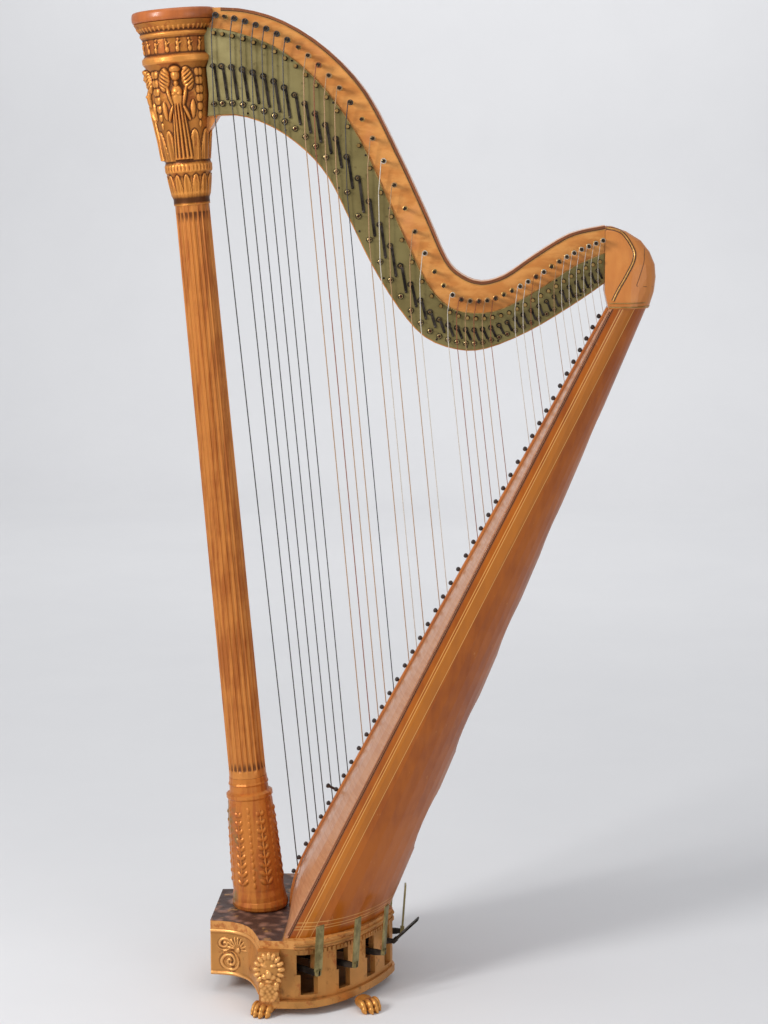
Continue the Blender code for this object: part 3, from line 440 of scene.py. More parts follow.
# ---------------------------------------------------------------- bow's mouldings
# A row of small square dentils and a roped bead run round the bow, under the soundbox. They are
# gilded strips of lime wood, nailed on.
BOW_HALF, BOW_WIDEST_X, BOW_BACK_X, BOW_POWER = 0.188, -0.160, -0.002, 0.85
BOW_CENTRE = Vector((-0.17, 0.0, 0.0))
DENTIL_SPACING, DENTIL_HALF, DENTIL_IN, DENTIL_OUT = 0.0078, 0.0026, -0.0015, 0.0024
DENTIL_LOW, DENTIL_HIGH = 0.1100, 0.1172
BEAD_RADIUS, BEAD_LEVEL, BEAD_ROPE = 0.0026, 0.1245, 0.0005


def bow_point(share, out=0.0):
    """A point round the bow at a share of its way from the left corner to the right one."""
    turn = (share * 2 - 1) * 0.5 * pi
    reach = cos(turn)
    x = BOW_WIDEST_X + (BOW_BACK_X + out - BOW_WIDEST_X) * reach
    half = (BOW_HALF + out) * max(0.0, 1 - reach**2) ** BOW_POWER
    return Vector((x, half if turn > 0 else -half, 0.0))


def skin_rings(bm, rings):
    """Joins each ring of points to the next one, and closes both ends."""
    for one, two in zip(rings, rings[1:]):
        for i in range(len(one)):
            j = (i + 1) % len(one)
            bm.faces.new((one[i], one[j], two[j], two[i]))
    bm.faces.new(rings[0][::-1])
    bm.faces.new(rings[-1])


def rounded_bar(bm, points, radius, sides=8):
    """A round bar through points."""
    points = [Vector(point) for point in points]
    rings = []
    guide = None
    for i, point in enumerate(points):
        step = points[min(i + 1, len(points) - 1)] - points[max(i - 1, 0)]
        step.normalize()
        guide = guide or step.orthogonal().normalized()
        guide = (guide - step * guide.dot(step)).normalized()
        other = step.cross(guide)
        angles = [2 * pi * k / sides for k in range(sides)]
        rings.append([bm.verts.new(point + (guide * cos(a) + other * sin(a)) * radius)
                      for a in angles])
    skin_rings(bm, rings)


def made(name, bm, material, slot, body="frame", angle=40):
    """A piece straight from its bmesh."""
    return finished(name, meshed(name, bm), material, body, angle)


dentils = bmesh.new()
path = [bow_point(share) for share in spread(0.0, 1.0, 400)]
lengths = [0.0]
for a, b in zip(path, path[1:]):
    lengths.append(lengths[-1] + (b - a).length)
next_dentil = 0.002
for i in range(len(path) - 1):
    if lengths[i] < next_dentil:
        continue
    next_dentil = lengths[i] + DENTIL_SPACING
    step = (path[i + 1] - path[i]).normalized()
    out = Vector((step.y, -step.x, 0.0))
    if out.dot(path[i] - BOW_CENTRE) < 0:
        out = -out
    corners = [path[i] + step * a + out * b for a, b in
               ((-DENTIL_HALF, DENTIL_IN), (DENTIL_HALF, DENTIL_IN),
                (DENTIL_HALF, DENTIL_OUT), (-DENTIL_HALF, DENTIL_OUT))]
    skin_rings(dentils, [[dentils.verts.new((c.x, c.y, z)) for c in corners]
                         for z in (DENTIL_LOW, DENTIL_HIGH)])
made("bow_dentils", dentils, base_gilding, "worn_gilding")
bead = bmesh.new()
strand = []
for i, share in enumerate(spread(0.0, 1.0, 900)):
    rise = BEAD_LEVEL + BEAD_ROPE * sin(i * 1.3)
    strand.append(bow_point(share, 0.0008) + Vector((0.0, 0.0, rise)))
rounded_bar(bead, strand, BEAD_RADIUS)
made("bow_bead", bead, base_gilding, "worn_gilding", angle=60)


# ---------------------------------------------------------------- top board
# The top board is carved all over with leaves and shells. Its gilding has gone, and what is left is
# clay and dark wax over the wood.
BASE_TOP, BOARD_BACK_X = 0.133, -0.184


def carved_board():
    """Leaves and veins as relief, with gilding left only along the edges."""
    finish = Finish("worn_top_carving", roughness=0.52)
    leaves = finish.node("ShaderNodeTexVoronoi", {"feature": "SMOOTH_F1"},
                         {"Vector": finish.where(), "Scale": 52.0})
    veins = finish.noise(120.0, 6.0)
    mask = (leaves * 1.3 + veins * 0.4).rise(0.35, 0.85)
    colour = finish.mixed(mask, (0.27, 0.135, 0.090), (0.060, 0.028, 0.020))
    colour = finish.mixed(finish.noise(30.0, 4.0).rise(0.58, 0.68), colour, (0.40, 0.20, 0.07))
    edge = finish.axis("Z").fall(BASE_TOP - 0.0012, BASE_TOP - 0.0004)
    edge = edge.most(finish.axis("X").rise(BOARD_BACK_X, BOARD_BACK_X + 0.006))
    colour = finish.mixed(edge, colour, finish.mixed(veins.rise(0.45, 0.65), GOLD, (0.42, 0.14, 0.03)))
    return finish.paint(colour, veins * 0.3 - leaves, 0.004, 0.8)


dress("base_top", carved_board())


# ---------------------------------------------------------------- pedal action in the base
# Steel levers turn on pins in forked brackets, and a spring lifts each one. The footplates are
# cast brass, gone olive, and the one nearest the back is dark iron.
def metal(name, light, dark, roughness, grain=60.0, amount=0.9):
    """Old metal, clouded and spotted darker."""
    finish = Finish(name, metallic=amount)
    cloud = finish.noise(grain, 5.0)
    spots = finish.noise(grain * 5, 3.0)
    colour = finish.mixed(cloud.rise(0.35, 0.65), light, dark)
    colour = finish.mixed(spots.rise(0.62, 0.72), colour, tuple(0.5 * part for part in dark))
    finish.feed(finish.shader, "Roughness", cloud * 0.3 + (roughness - 0.1))
    return finish.paint(colour, spots, 0.0004, 0.3)


dark_steel = metal("dark_steel_finish", (0.075, 0.060, 0.048), (0.020, 0.016, 0.013), 0.42)
pale_steel = metal("rod_steel_finish", (0.45, 0.44, 0.42), (0.22, 0.19, 0.16), 0.35)
olive_brass = metal("footplate_brass", (0.36, 0.30, 0.13), (0.19, 0.15, 0.06), 0.38, 40.0, 0.75)
copper = metal("spring_copper", (0.50, 0.17, 0.07), (0.24, 0.07, 0.03), 0.4)
for name in nodes:
    if name.startswith("pedal_rod") or name == "pedal_rack":
        dress(name, pale_steel)
    elif name == "spring_hanger":
        dress(name, copper)
    elif name == "footplate_swell" or name.startswith(("pedal_", "fork_disc")):
        dress(name, dark_steel)
    elif name.startswith("footplate"):
        dress(name, olive_brass)


# ---------------------------------------------------------------- column
# The column is one hollow turned shaft with twenty-two flutes, water-gilded over clay. It stands in
# a tapered drum with cast palmettes, and the pedal rods run up inside it.
COLUMN_LEAN = radians(4.9)
COLUMN = Matrix.Translation((-0.2405, 0.0, BASE_TOP)) @ Matrix.Rotation(-COLUMN_LEAN, 4, "Y")
SHAFT_LOW, SHAFT_HIGH, SHAFT_LOW_RADIUS, SHAFT_HIGH_RADIUS = 0.2433, 1.257, 0.0330, 0.0297
FLUTES, FLUTE_DEPTH, FLUTE_WIDTH, FLUTE_END = 22, 0.0027, 0.80, 0.006


def column_gilding(name, leaf, clay, dirt_and_shade, bare=None):
    """Leaf with long worn streaks up the column, and dirt with painted shade where the hollow
    attribute is high.
    """
    finish = Finish(name, metallic=0.35)
    streaks = finish.noise(90.0, 4.0, (1.0, 1.0, 0.05), (0.0, -COLUMN_LEAN, 0.0))
    patches = finish.noise(14.0, 5.0)
    worn = (streaks * 0.6 + patches * 0.4).rise(0.45, 0.60)
    colour = finish.mixed(worn, leaf, clay)
    if bare:
        colour = finish.mixed(patches.rise(0.55, 0.64) * 0.8, colour, bare)
    # The hollows, such as the flutes and the palmettes' ground, are painted dark: painted shade with
    # some dirt.
    dark = finish.hollow() + (finish.noise(45.0, 4.0) - 0.5) * 0.3
    colour = finish.mixed(dark.rise(0.45, 1.0) * 0.9, colour, dirt_and_shade)
    finish.feed(finish.shader, "Roughness", streaks * 0.25 + 0.24)
    return finish.paint(colour, streaks, 0.0006, 0.3)


shaft_gilding = column_gilding("shaft_gilding", (0.58, 0.215, 0.045), (0.40, 0.120, 0.022),
                               (0.110, 0.030, 0.008))


def shaft_radius(height):
    share = (height - SHAFT_LOW) / (SHAFT_HIGH - SHAFT_LOW)
    return SHAFT_LOW_RADIUS + (SHAFT_HIGH_RADIUS - SHAFT_LOW_RADIUS) * share


def flute(turn, height):
    """How far the surface is cut back, with rounded ends to each flute."""
    phase = (turn * FLUTES / (2 * pi)) % 1.0 * 2 - 1
    ends = min(height - SHAFT_LOW - 0.012, SHAFT_HIGH - 0.010 - height) / FLUTE_END
    if ends <= 0 or abs(phase) > FLUTE_WIDTH:
        return 0.0
    return -FLUTE_DEPTH * sqrt(max(0.0, 1 - (phase / FLUTE_WIDTH) ** 2)) * sqrt(min(1.0, ends))


def turned_piece(name, profile, lift, sides, heights, reach=0.0009):
    """A turned and carved body round the column's axis, closed at both ends."""
    bm = bmesh.new()
    rings = []
    for h in heights:
        ring = []
        for i in range(sides):
            turn = 2 * pi * i / sides
            r = profile(h) + lift(turn, h)
            ring.append(bm.verts.new(COLUMN @ Vector((r * cos(turn), r * sin(turn), h))))
        rings.append(ring)
    skin_rings(bm, rings)
    mesh = meshed(name, bm)
    shade_hollows(mesh, reach)
    return mesh


heights = [SHAFT_LOW + rise for rise in (0.0, 0.010, 0.013, 0.015, 0.018)]
heights += spread(SHAFT_LOW + 0.03, SHAFT_HIGH - 0.03, 30)
heights += [SHAFT_HIGH - drop for drop in (0.016, 0.013, 0.011, 0.0)]
shaft = turned_piece("fluted_shaft", shaft_radius, flute, FLUTES * 12, heights, 0.0035)
shaft = finished("fluted_shaft", shaft, shaft_gilding)
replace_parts(shaft, "column_shaft")

pedestal_gilding = column_gilding("pedestal_gilding", (0.54, 0.180, 0.030), (0.42, 0.110, 0.020),
                                  (0.085, 0.024, 0.007), (0.24, 0.150, 0.045))
dress("column_pedestal", pedestal_gilding)


def between_points(points):
    """The radius at a height, straight between (height, radius) points."""
    def radius(h):
        for (h0, r0), (h1, r1) in zip(points, points[1:]):
            if h <= h1:
                return r0 + (r1 - r0) * (h - h0) / (h1 - h0)
        return points[-1][1]
    return radius


drum_radius = between_points([(0.036, 0.0455), (0.080, 0.0440), (0.150, 0.0415), (0.200, 0.0395)])
SPRAYS, DRUM_SIDES = 6, 264


def palmettes(turn, h):
    """Six upright sprays of leaves, each on a stem, with a string of pods between them."""
    sector = 2 * pi / SPRAYS
    offset = (turn + sector / 2) % sector - sector / 2
    u = offset * drum_radius(h)
    tall = mound(u, h, (0.0, 0.115), (0.0016, 0.075), 0.0020)
    for k in range(9):
        level = 0.052 + 0.0155 * k
        length = 0.0125 - 0.0006 * k
        for sign in (-1, 1):
            centre = (sign * length * 0.55, level + 0.004)
            tall = max(tall, mound(u, h, centre, (length * 0.62, 0.0036), 0.0024, sign * 0.75))
    pod = (abs(offset) - sector / 2) * drum_radius(h)
    for k in range(12):
        tall = max(tall, mound(pod, h, (0.0, 0.050 + 0.0125 * k), (0.0030, 0.0052), 0.0016))
    return 0.0003 + tall


def on_drum(turn, h, lift):
    r = drum_radius(h) + lift
    return COLUMN @ Vector((r * cos(turn), r * sin(turn), h))


turns = [2 * pi * i / DRUM_SIDES for i in range(DRUM_SIDES)]
sheet = relief_skin("pedestal_palmettes", on_drum, turns, spread(0.040, 0.198, 120), palmettes,
                    0.0006, wrap=True)
finished("pedestal_palmettes", sheet, pedestal_gilding, angle=60)


# ---------------------------------------------------------------- capital
# The capital is cast composition on a turned core: a belt of leaves, three standing winged figures,
# a frieze of small dancers and a moulded rim, all gilded, with the high points rubbed and painted
# brighter as a painted highlight, and the hollows painted dark as dirt and painted shade.
capital_gilding = gilded("capital_gilding", (0.56, 0.205, 0.036), (0.36, 0.105, 0.022),
                         (0.085, 0.025, 0.006), 0.50, carved=True)
capital_radius = between_points([
    (1.2573, 0.0312), (1.268, 0.0312), (1.275, 0.0330), (1.306, 0.0365), (1.314, 0.0395),
    (1.326, 0.0400), (1.332, 0.0385), (1.368, 0.0420), (1.410, 0.0480), (1.440, 0.0515),
    (1.485, 0.0530), (1.495, 0.0585), (1.499, 0.0615), (1.506, 0.0615), (1.512, 0.0560),
    (1.538, 0.0575), (1.545, 0.0620), (1.550, 0.0600), (1.556, 0.0650), (1.5655, 0.0700)])


FIGURE_MIDDLE = [
    ((0.0, 1.4755), (0.0074, 0.0098), 0.0100),          # head
    ((0.0, 1.4850), (0.0090, 0.0062), 0.0105),          # hair
    ((0.0, 1.4740), (0.0014, 0.0030), 0.0112),          # nose
    ((0.0, 1.4620), (0.0038, 0.0060), 0.0070),          # neck
    ((0.0, 1.4400), (0.0105, 0.0200), 0.0085)]          # trunk
FIGURE_SIDES = [
    (0.0045, 1.4450, (0.0042, 0.0046), 0.0098, 0.0),    # breast
    (0.0120, 1.4400, (0.0034, 0.0180), 0.0070, -0.25),  # upper arm
    (0.0130, 1.4130, (0.0030, 0.0150), 0.0060, 0.35),   # forearm
    (0.0245, 1.4180, (0.0045, 0.0160), 0.0042, -0.1)]   # hanging cloth
HEM, WAIST = 1.335, 1.428


def figure(u, h):
    """A winged figure in high relief, with a calm, plain head and a pleated robe."""
    tall = max(mound(u, h, *part) for part in FIGURE_MIDDLE)
    for sign in (-1, 1):
        for out, level, radii, proud, lean in FIGURE_SIDES:
            tall = max(tall, mound(u, h, (sign * out, level), radii, proud, sign * lean))
        feathers = 1.0 + 0.18 * sin(900 * (u * 0.8 * sign - h))
        wing = mound(u, h, (sign * 0.0200, 1.4690), (0.0105, 0.0200), 0.0066, sign * 0.12)
        tall = max(tall, wing * feathers)
    if HEM < h < WAIST:
        half = 0.0088 + (WAIST - h) * 0.090
        if abs(u) < half:
            folds = 0.80 + 0.20 * cos(u * 1150 + (h - 1.38) * 60 * u / half)
            tall = max(tall, 0.0080 * sqrt(1 - (u / half) ** 2) * folds)
    return tall


def leaf_belt(turn, h, count, low, high, tall):
    """Upright pointed leaves, side by side, each with a rib."""
    if not low < h < high:
        return 0.0
    phase = (turn * count / (2 * pi)) % 1.0 * 2 - 1
    share = (h - low) / (high - low)
    half = 0.95 * sqrt(max(0.0, 1 - share**2))
    if abs(phase) > half:
        return 0.0
    rib = 1.0 - 0.35 * abs(cos(phase * 2.5 * pi / 2))
    return tall * (0.35 + 0.65 * share) * rib * (1 - 0.3 * (abs(phase) / max(half, 0.01)) ** 2)


def capital_carving(turn, h):
    """From the foot up: leaves, a milled ring, figures between strings of pods, and the frieze."""
    if h < 1.262:
        return 0.0
    tall = leaf_belt(turn, h, 14, 1.272, 1.309, 0.0028)
    tall = max(tall, leaf_belt(turn + pi / 12, h, 12, 1.333, 1.384, 0.0042))
    if 1.3135 < h < 1.3265:
        return 0.0010 * abs(sin(turn * 18))
    for facing in (-0.5 * pi, pi, 0.5 * pi):
        offset = (turn - facing + pi) % (2 * pi) - pi
        if abs(offset) < 0.8 and 1.33 < h < 1.497:
            tall = max(tall, figure(offset * capital_radius(h), h))
    if 1.384 < h < 1.490:
        quarter = (turn * 4 / (2 * pi) + 0.5) % 1.0 - 0.5
        u = quarter * 2 * pi / 4 * capital_radius(h)
        for k in range(7):
            tall = max(tall, mound(abs(u) - 0.038, h, (0.0, 1.392 + 0.0145 * k),
                                   (0.0052, 0.0068), 0.0026))
    if 1.4985 < h < 1.5065:
        return 0.0
    if 1.5135 < h < 1.5380:
        step = 2 * pi / 18
        u = ((turn + step / 2) % step - step / 2) * 0.0565
        sway = 0.0012 * sin(turn * 9 + 1.0)
        tall = max(tall, mound(u, h, (sway, 1.5345), (0.0018, 0.0021), 0.0026))
        tall = max(tall, mound(u, h, (0.0, 1.5270), (0.0024, 0.0056), 0.0026, sway * 120))
        tall = max(tall, mound(u, h, (-sway, 1.5185), (0.0034, 0.0052), 0.0022))
        tall = max(tall, mound(u, h, (0.0042, 1.5290), (0.0042, 0.0011), 0.0018, 0.6))
    if 1.5500 < h < 1.5580:
        tall = max(tall, 0.0011 * max(0.0, sin(turn * 46)))
    return tall


levels = sorted(set([1.2573, 1.2620, 1.268, 1.275] + spread(1.2780, 1.3300, 34)
                    + spread(1.3320, 1.4960, 150) + spread(1.4970, 1.5650, 62) + [1.5655]))
capital = turned_piece("carved_capital", capital_radius, capital_carving, 330, levels)
capital = finished("carved_capital", capital, capital_gilding, angle=70)
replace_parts(capital, "column_capital")


# ---------------------------------------------------------------- cornice, shoulder and soundbox
# The cornice, the soundbox's ribs and the shoulder block are maple under an orange-brown spirit
# varnish. Fine gilt lines are ruled beside the soundbox's front edge and round its foot.
BODY_TOP, BODY_LOW_HALF, BODY_HIGH_HALF = 1.212, 0.174, 0.050
EDGE_LOW_X, EDGE_SLOPE = -0.172, 0.506


def varnished(name, light, deep, lines=False):
    """Figured maple under varnish. lines adds the ruled gilt lines of the soundbox."""
    finish = Finish(name, coat=0.12)
    flame = finish.noise(70.0, 4.0, (1.0, 1.0, 0.12), (0.0, radians(22), 0.0))
    cloud = finish.noise(5.0, 4.0)
    scuffs = finish.noise(120.0, 6.0, (1.0, 1.0, 0.35))
    colour = finish.mixed((cloud * 0.7 + flame * 0.3).rise(0.36, 0.66), light, deep)
    # Large soft patches are painted paler and pinker: a painted sheen on the varnish.
    colour = finish.mixed(finish.noise(7.0, 4.0).rise(0.58, 0.80) * 0.35, colour,
                          (0.40, 0.14, 0.040))
    worn = scuffs.rise(0.66, 0.72) * 0.35
    colour = finish.mixed(worn, colour, (0.56, 0.25, 0.07))
    if lines:
        x, z = finish.axis("X"), finish.axis("Z")
        inset = x - (z - BASE_TOP) * EDGE_SLOPE - EDGE_LOW_X
        ruled = (inset - 0.0125).size().fall(0.0005, 0.0010)
        for distance, wide in ((0.0170, 0.0005), (0.0370, 0.0004)):
            ruled = ruled.most((inset - distance).size().fall(wide, wide + 0.0005))
        for level in (0.1480, 0.1530, 0.1600):
            ruled = ruled.most((z - level).size().fall(0.0004, 0.0009))
        colour = finish.mixed((inset - 0.0265).size().fall(0.0085, 0.0100) * 0.45, colour,
                              (0.52, 0.19, 0.018))
        colour = finish.mixed(ruled * 0.75, colour, (0.70, 0.38, 0.11))
        colour = finish.mixed(inset.fall(0.0016, 0.0024) * 0.8, colour, (0.150, 0.045, 0.018))
    finish.feed(finish.shader, "Roughness", scuffs * 0.25 + 0.22)
    return finish.paint(colour, flame * 0.4 + scuffs * 0.3, 0.0004, 0.25)


body_varnish = varnished("soundbox_varnish", (0.43, 0.108, 0.003), (0.28, 0.058, 0.002), True)
shoulder_varnish = varnished("shoulder_varnish", (0.62, 0.250, 0.060), (0.50, 0.170, 0.038))
cornice_varnish = varnished("cornice_varnish", (0.46, 0.130, 0.030), (0.26, 0.065, 0.018))
dress("body_shell", body_varnish)
dress("shoulder", shoulder_varnish)
CORNICE = [(1.5665, 0.0690), (1.5675, 0.0708), (1.5700, 0.0722), (1.5740, 0.0724),
           (1.5790, 0.0722), (1.5825, 0.0714), (1.5846, 0.0698), (1.5855, 0.0672)]
cornice = turned_piece("turned_cornice", between_points(CORNICE), lambda turn, h: 0.0, 144,
                       [level for level, radius in CORNICE])
cornice = finished("turned_cornice", cornice, cornice_varnish)
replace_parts(cornice, "capital_cornice")

# A brass ferrule and two ruled gilt lines go round the shoulder where it meets the soundbox.
ferrule_brass = metal("ferrule_brass", (0.55, 0.36, 0.13), (0.32, 0.19, 0.06), 0.3)
SHOULDER_X = 0.367
low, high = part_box("shoulder")
round_end = high.x - 0.0105
round_start = SHOULDER_X + 0.35 * (round_end - SHOULDER_X)
ferrule = bmesh.new()
for level, radius in ((low.z + 0.0030, 0.0011), (low.z + 0.0100, 0.0008)):
    ring = [(SHOULDER_X, -BODY_HIGH_HALF, level)]
    for turn in spread(-0.5 * pi, 0.5 * pi, 64):
        half = BODY_HIGH_HALF * sin(turn)
        ring.append((round_start + (round_end - round_start) * cos(turn), half, level))
    ring.append((SHOULDER_X, BODY_HIGH_HALF, level))
    rounded_bar(ferrule, ring, radius)
made("shoulder_ferrule", ferrule, ferrule_brass, "olive_brass")


# ---------------------------------------------------------------- soundboard
# The soundboard is spruce with its grain across the harp, under a thin pinkish-white varnish. A dark
# moulding covers the joint with the ribs.
def board_finish():
    """Spruce, whose grain runs across the harp."""
    finish = Finish("soundboard_finish", coat=0.2)
    grain = finish.noise(260.0, 3.0, (0.12, 0.05, 1.0))
    cloud = finish.noise(8.0, 4.0)
    colour = finish.mixed(grain.rise(0.42, 0.62) * 0.6, (0.50, 0.235, 0.115), (0.40, 0.165, 0.075))
    colour = finish.mixed(cloud.rise(0.5, 0.75) * 0.5, colour, (0.50, 0.24, 0.13))
    finish.feed(finish.shader, "Roughness", grain * 0.2 + 0.22)
    return finish.paint(colour, grain, 0.0003, 0.3)


dress("soundboard", board_finish())


def edge_x(z):
    """Where the soundboard's edge is at a height."""
    return EDGE_LOW_X + EDGE_SLOPE * (z - BASE_TOP)


def body_half(z):
    """Half the soundbox's width at a height."""
    return BODY_LOW_HALF + (BODY_HIGH_HALF - BODY_LOW_HALF) * (z - BASE_TOP) / (BODY_TOP - BASE_TOP)


moulding_wood = varnished("moulding_wood", (0.24, 0.075, 0.026), (0.135, 0.042, 0.016))
for side, sign in (("left", -1), ("right", 1)):
    strip = bmesh.new()
    rounded_bar(strip, [(edge_x(z) - 0.0034, sign * (body_half(z) - 0.0018), z)
                        for z in spread(BASE_TOP + 0.005, BODY_TOP - 0.004, 24)], 0.0020, 10)
    made(f"edge_moulding_{side}", strip, moulding_wood, "varnished_wood")


# ---------------------------------------------------------------- string layout
# Every string leaves a peg in the rib, passes its lower and its upper disc, bears on a bridge nut
# and winds on a tuning pin. These are the same rules of spacing as the frame's own.
STRINGS, GAP = 43, 0.0003
NECK_END = 0.360 - GAP
NECK_HALF, STRING_Y, PLATE_FACE = 0.022, -0.0335, -0.0256
BOARD_ANGLE = radians(28.27)
UP_BOARD = Vector((sin(BOARD_ANGLE), cos(BOARD_ANGLE)))
FIRST_STRING = Vector((-0.181, 0.196))
NUT_LEAN = radians(1.2)
MISSING = {2, 9, 15, 19, 22, 23, 30, 31, 36}
NECK_TOP = smooth_path(
    [(-0.345, 1.7150), (-0.262, 1.7150), (-0.186, 1.694), (-0.111, 1.646), (-0.045, 1.575),
     (0.010, 1.472), (0.058, 1.370), (0.090, 1.298), (0.115, 1.270), (0.150, 1.257),
     (0.190, 1.268), (0.240, 1.302), (0.300, 1.338), (NECK_END, 1.352)], 3)
PLATE_TOP = smooth_path(
    [(-0.345, 1.685), (-0.277, 1.678), (-0.195, 1.648), (-0.121, 1.586), (-0.060, 1.502),
     (-0.016, 1.410), (0.020, 1.330), (0.058, 1.254), (0.095, 1.214), (0.140, 1.203),
     (0.190, 1.212), (0.258, 1.250), (0.310, 1.284), (NECK_END, 1.306)], 3)
PLATE_BOTTOM = smooth_path(
    [(-0.345, 1.531), (-0.271, 1.539), (-0.206, 1.519), (-0.150, 1.480), (-0.109, 1.433),
     (-0.075, 1.366), (-0.035, 1.285), (0.010, 1.213), (0.055, 1.163), (0.110, 1.142),
     (0.160, 1.144), (0.230, 1.173), (0.300, 1.215), (NECK_END, 1.256)], 3)


def offset_path(path, distance, last=None):
    """A path moved to its left, by a distance that may change evenly to another one."""
    moved = []
    for i, point in enumerate(path):
        away = distance
        if last is not None:
            away += (last - distance) * i / (len(path) - 1)
        step = path[min(i + 1, len(path) - 1)] - path[max(i - 1, 0)]
        moved.append(point + Vector((-step.y, step.x)).normalized() * away)
    return moved


def extended(path):
    """A path with a straight piece added at its end."""
    return path + [path[-1] + (path[-1] - path[-2]).normalized() * 0.03]


def crossing(path, start, direction):
    """Where a straight line meets a path."""
    side = Vector((-direction.y, direction.x))
    for a, b in zip(path, path[1:]):
        p, q = (a - start).dot(side), (b - start).dot(side)
        if p * q <= 0 and p != q:
            return a + (b - a) * (p / (p - q))
    raise ValueError("the line misses the path")


def board_line_x(z):
    """The soundboard's middle line, which curves back at its foot."""
    straight = FIRST_STRING.x + tan(BOARD_ANGLE) * (z - FIRST_STRING.y)
    return straight + (0.028 * ((0.243 - z) / 0.110) ** 2 if z < 0.243 else 0.0)


nut_row = extended(offset_path(PLATE_TOP, -0.009))
pin_row = extended(offset_path(PLATE_TOP, 0.021))
low_row = extended(offset_path(PLATE_BOTTOM, 0.019, 0.008))
strings = []
for index in range(STRINGS):
    peg = FIRST_STRING + UP_BOARD * (0.0289 * index - 2.565e-8 * index**4)
    peg.x = board_line_x(peg.y)
    foot = peg + UP_BOARD * 0.007
    lean = radians(5.05 + 0.0052 * (index - 10) ** 2)
    lower = crossing(low_row, foot, Vector((-sin(lean), cos(lean))))
    above = crossing(nut_row, lower, Vector((-sin(NUT_LEAN), cos(NUT_LEAN))))
    radius = 0.0010 - 0.0006 * index / (STRINGS - 1)
    nut = above + Vector((0.0028 + radius + GAP, 0))
    strings.append({"index": index, "peg": peg, "foot": foot, "lower": lower, "above": above,
                    "upper": lower.lerp(above, 0.54), "nut": nut, "radius": radius})
for index, string in enumerate(strings):
    after, before = min(index + 1, STRINGS - 1), max(index - 1, 0)
    room = (strings[after]["nut"].x - strings[before]["nut"].x) / (after - before)
    string["disc"] = min(0.0058, 0.36 * room)
    start = string["nut"] + Vector((min(0.0040, 0.33 * room), 0))
    string["pin"] = crossing(pin_row, start, Vector((0.02, 1)))


# ---------------------------------------------------------------- rib and pegs
# A narrow strip of hard wood covers the soundboard's string line. Each string passes through it and
# is held by a turned black peg with a small pale button.
ACROSS = Vector((-cos(BOARD_ANGLE), 0, sin(BOARD_ANGLE)))
rib = bmesh.new()
rings = []
for z in spread(BASE_TOP + 0.0005, BODY_TOP - 0.0002, 60):
    front, back = board_line_x(z) - 0.0012, board_line_x(z) + 0.0036
    ring = [(back, -0.0088), (front + 0.0014, -0.0086), (front, -0.0072), (front, 0.0072),
            (front + 0.0014, 0.0086), (back, 0.0088)]
    rings.append([rib.verts.new((x, y, z)) for x, y in ring])
skin_rings(rib, rings)
rib_varnish = varnished("rib_varnish", (0.50, 0.165, 0.035), (0.34, 0.095, 0.024))
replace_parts(made("string_rib", rib, rib_varnish, "gut_string"), "strung_rib")


def add_turned_peg(bm, base, direction, profile, sides=14):
    """A small turned piece that stands on a base point. profile holds (height, radius) pairs."""
    side = direction.orthogonal().normalized()
    other = direction.cross(side)
    angles = [2 * pi * k / sides for k in range(sides)]
    skin_rings(bm, [[bm.verts.new(base + direction * h + (side * cos(a) + other * sin(a)) * r)
                     for a in angles] for h, r in profile])


def in_plane(point, y):
    """A point of the layout, at a distance from the harp's middle plane."""
    return Vector((point.x, y, point.y))


def mottled(name, light, dark, noise, step, bump, **sheen):
    """A plain material that goes from one tone to another in a soft pattern."""
    finish = Finish(name, **sheen)
    tone = finish.noise(*noise)
    return finish.paint(finish.mixed(tone.rise(*step), light, dark), tone, *bump)


peg_black = mottled("peg_ebony", (0.022, 0.015, 0.013), (0.065, 0.035, 0.025), (300.0, 3.0),
                    (0.4, 0.7), (0.0002, 0.3), roughness=0.35, coat=0.3)
PEG = [(0.0, 0.0026), (0.0030, 0.0026), (0.0036, 0.0038), (0.0062, 0.0043), (0.0084, 0.0034),
       (0.0094, 0.0014)]
PULLED_PEG = [(0.0, 0.0022), (0.018, 0.0025), (0.020, 0.0042), (0.0235, 0.0042), (0.025, 0.0016)]
PULLED, PULLED_WAY = 6, (ACROSS + Vector((-0.25, -0.1, 0.1))).normalized()
pegs = bmesh.new()
for string in strings:
    add_turned_peg(pegs, in_plane(string["peg"], 0) - ACROSS * 0.001, ACROSS, PEG)
base = in_plane(strings[PULLED]["peg"], 0) - ACROSS * 0.001
add_turned_peg(pegs, base, PULLED_WAY, PULLED_PEG)
made("string_pegs", pegs, peg_black, "gut_string")


# ---------------------------------------------------------------- strings
# The eight lowest strings are dark wire wound on silk, and the rest are gut: red for C, black for F
# and tan or nearly clear for the others. Several are missing.
def string_finish(name, light, dark, metallic, roughness):
    """A twisted thread, too fine to model."""
    return mottled(name, light, dark, (900.0, 2.0), (0.4, 0.6), (0.0001, 0.3),
                   roughness=roughness, metallic=metallic)


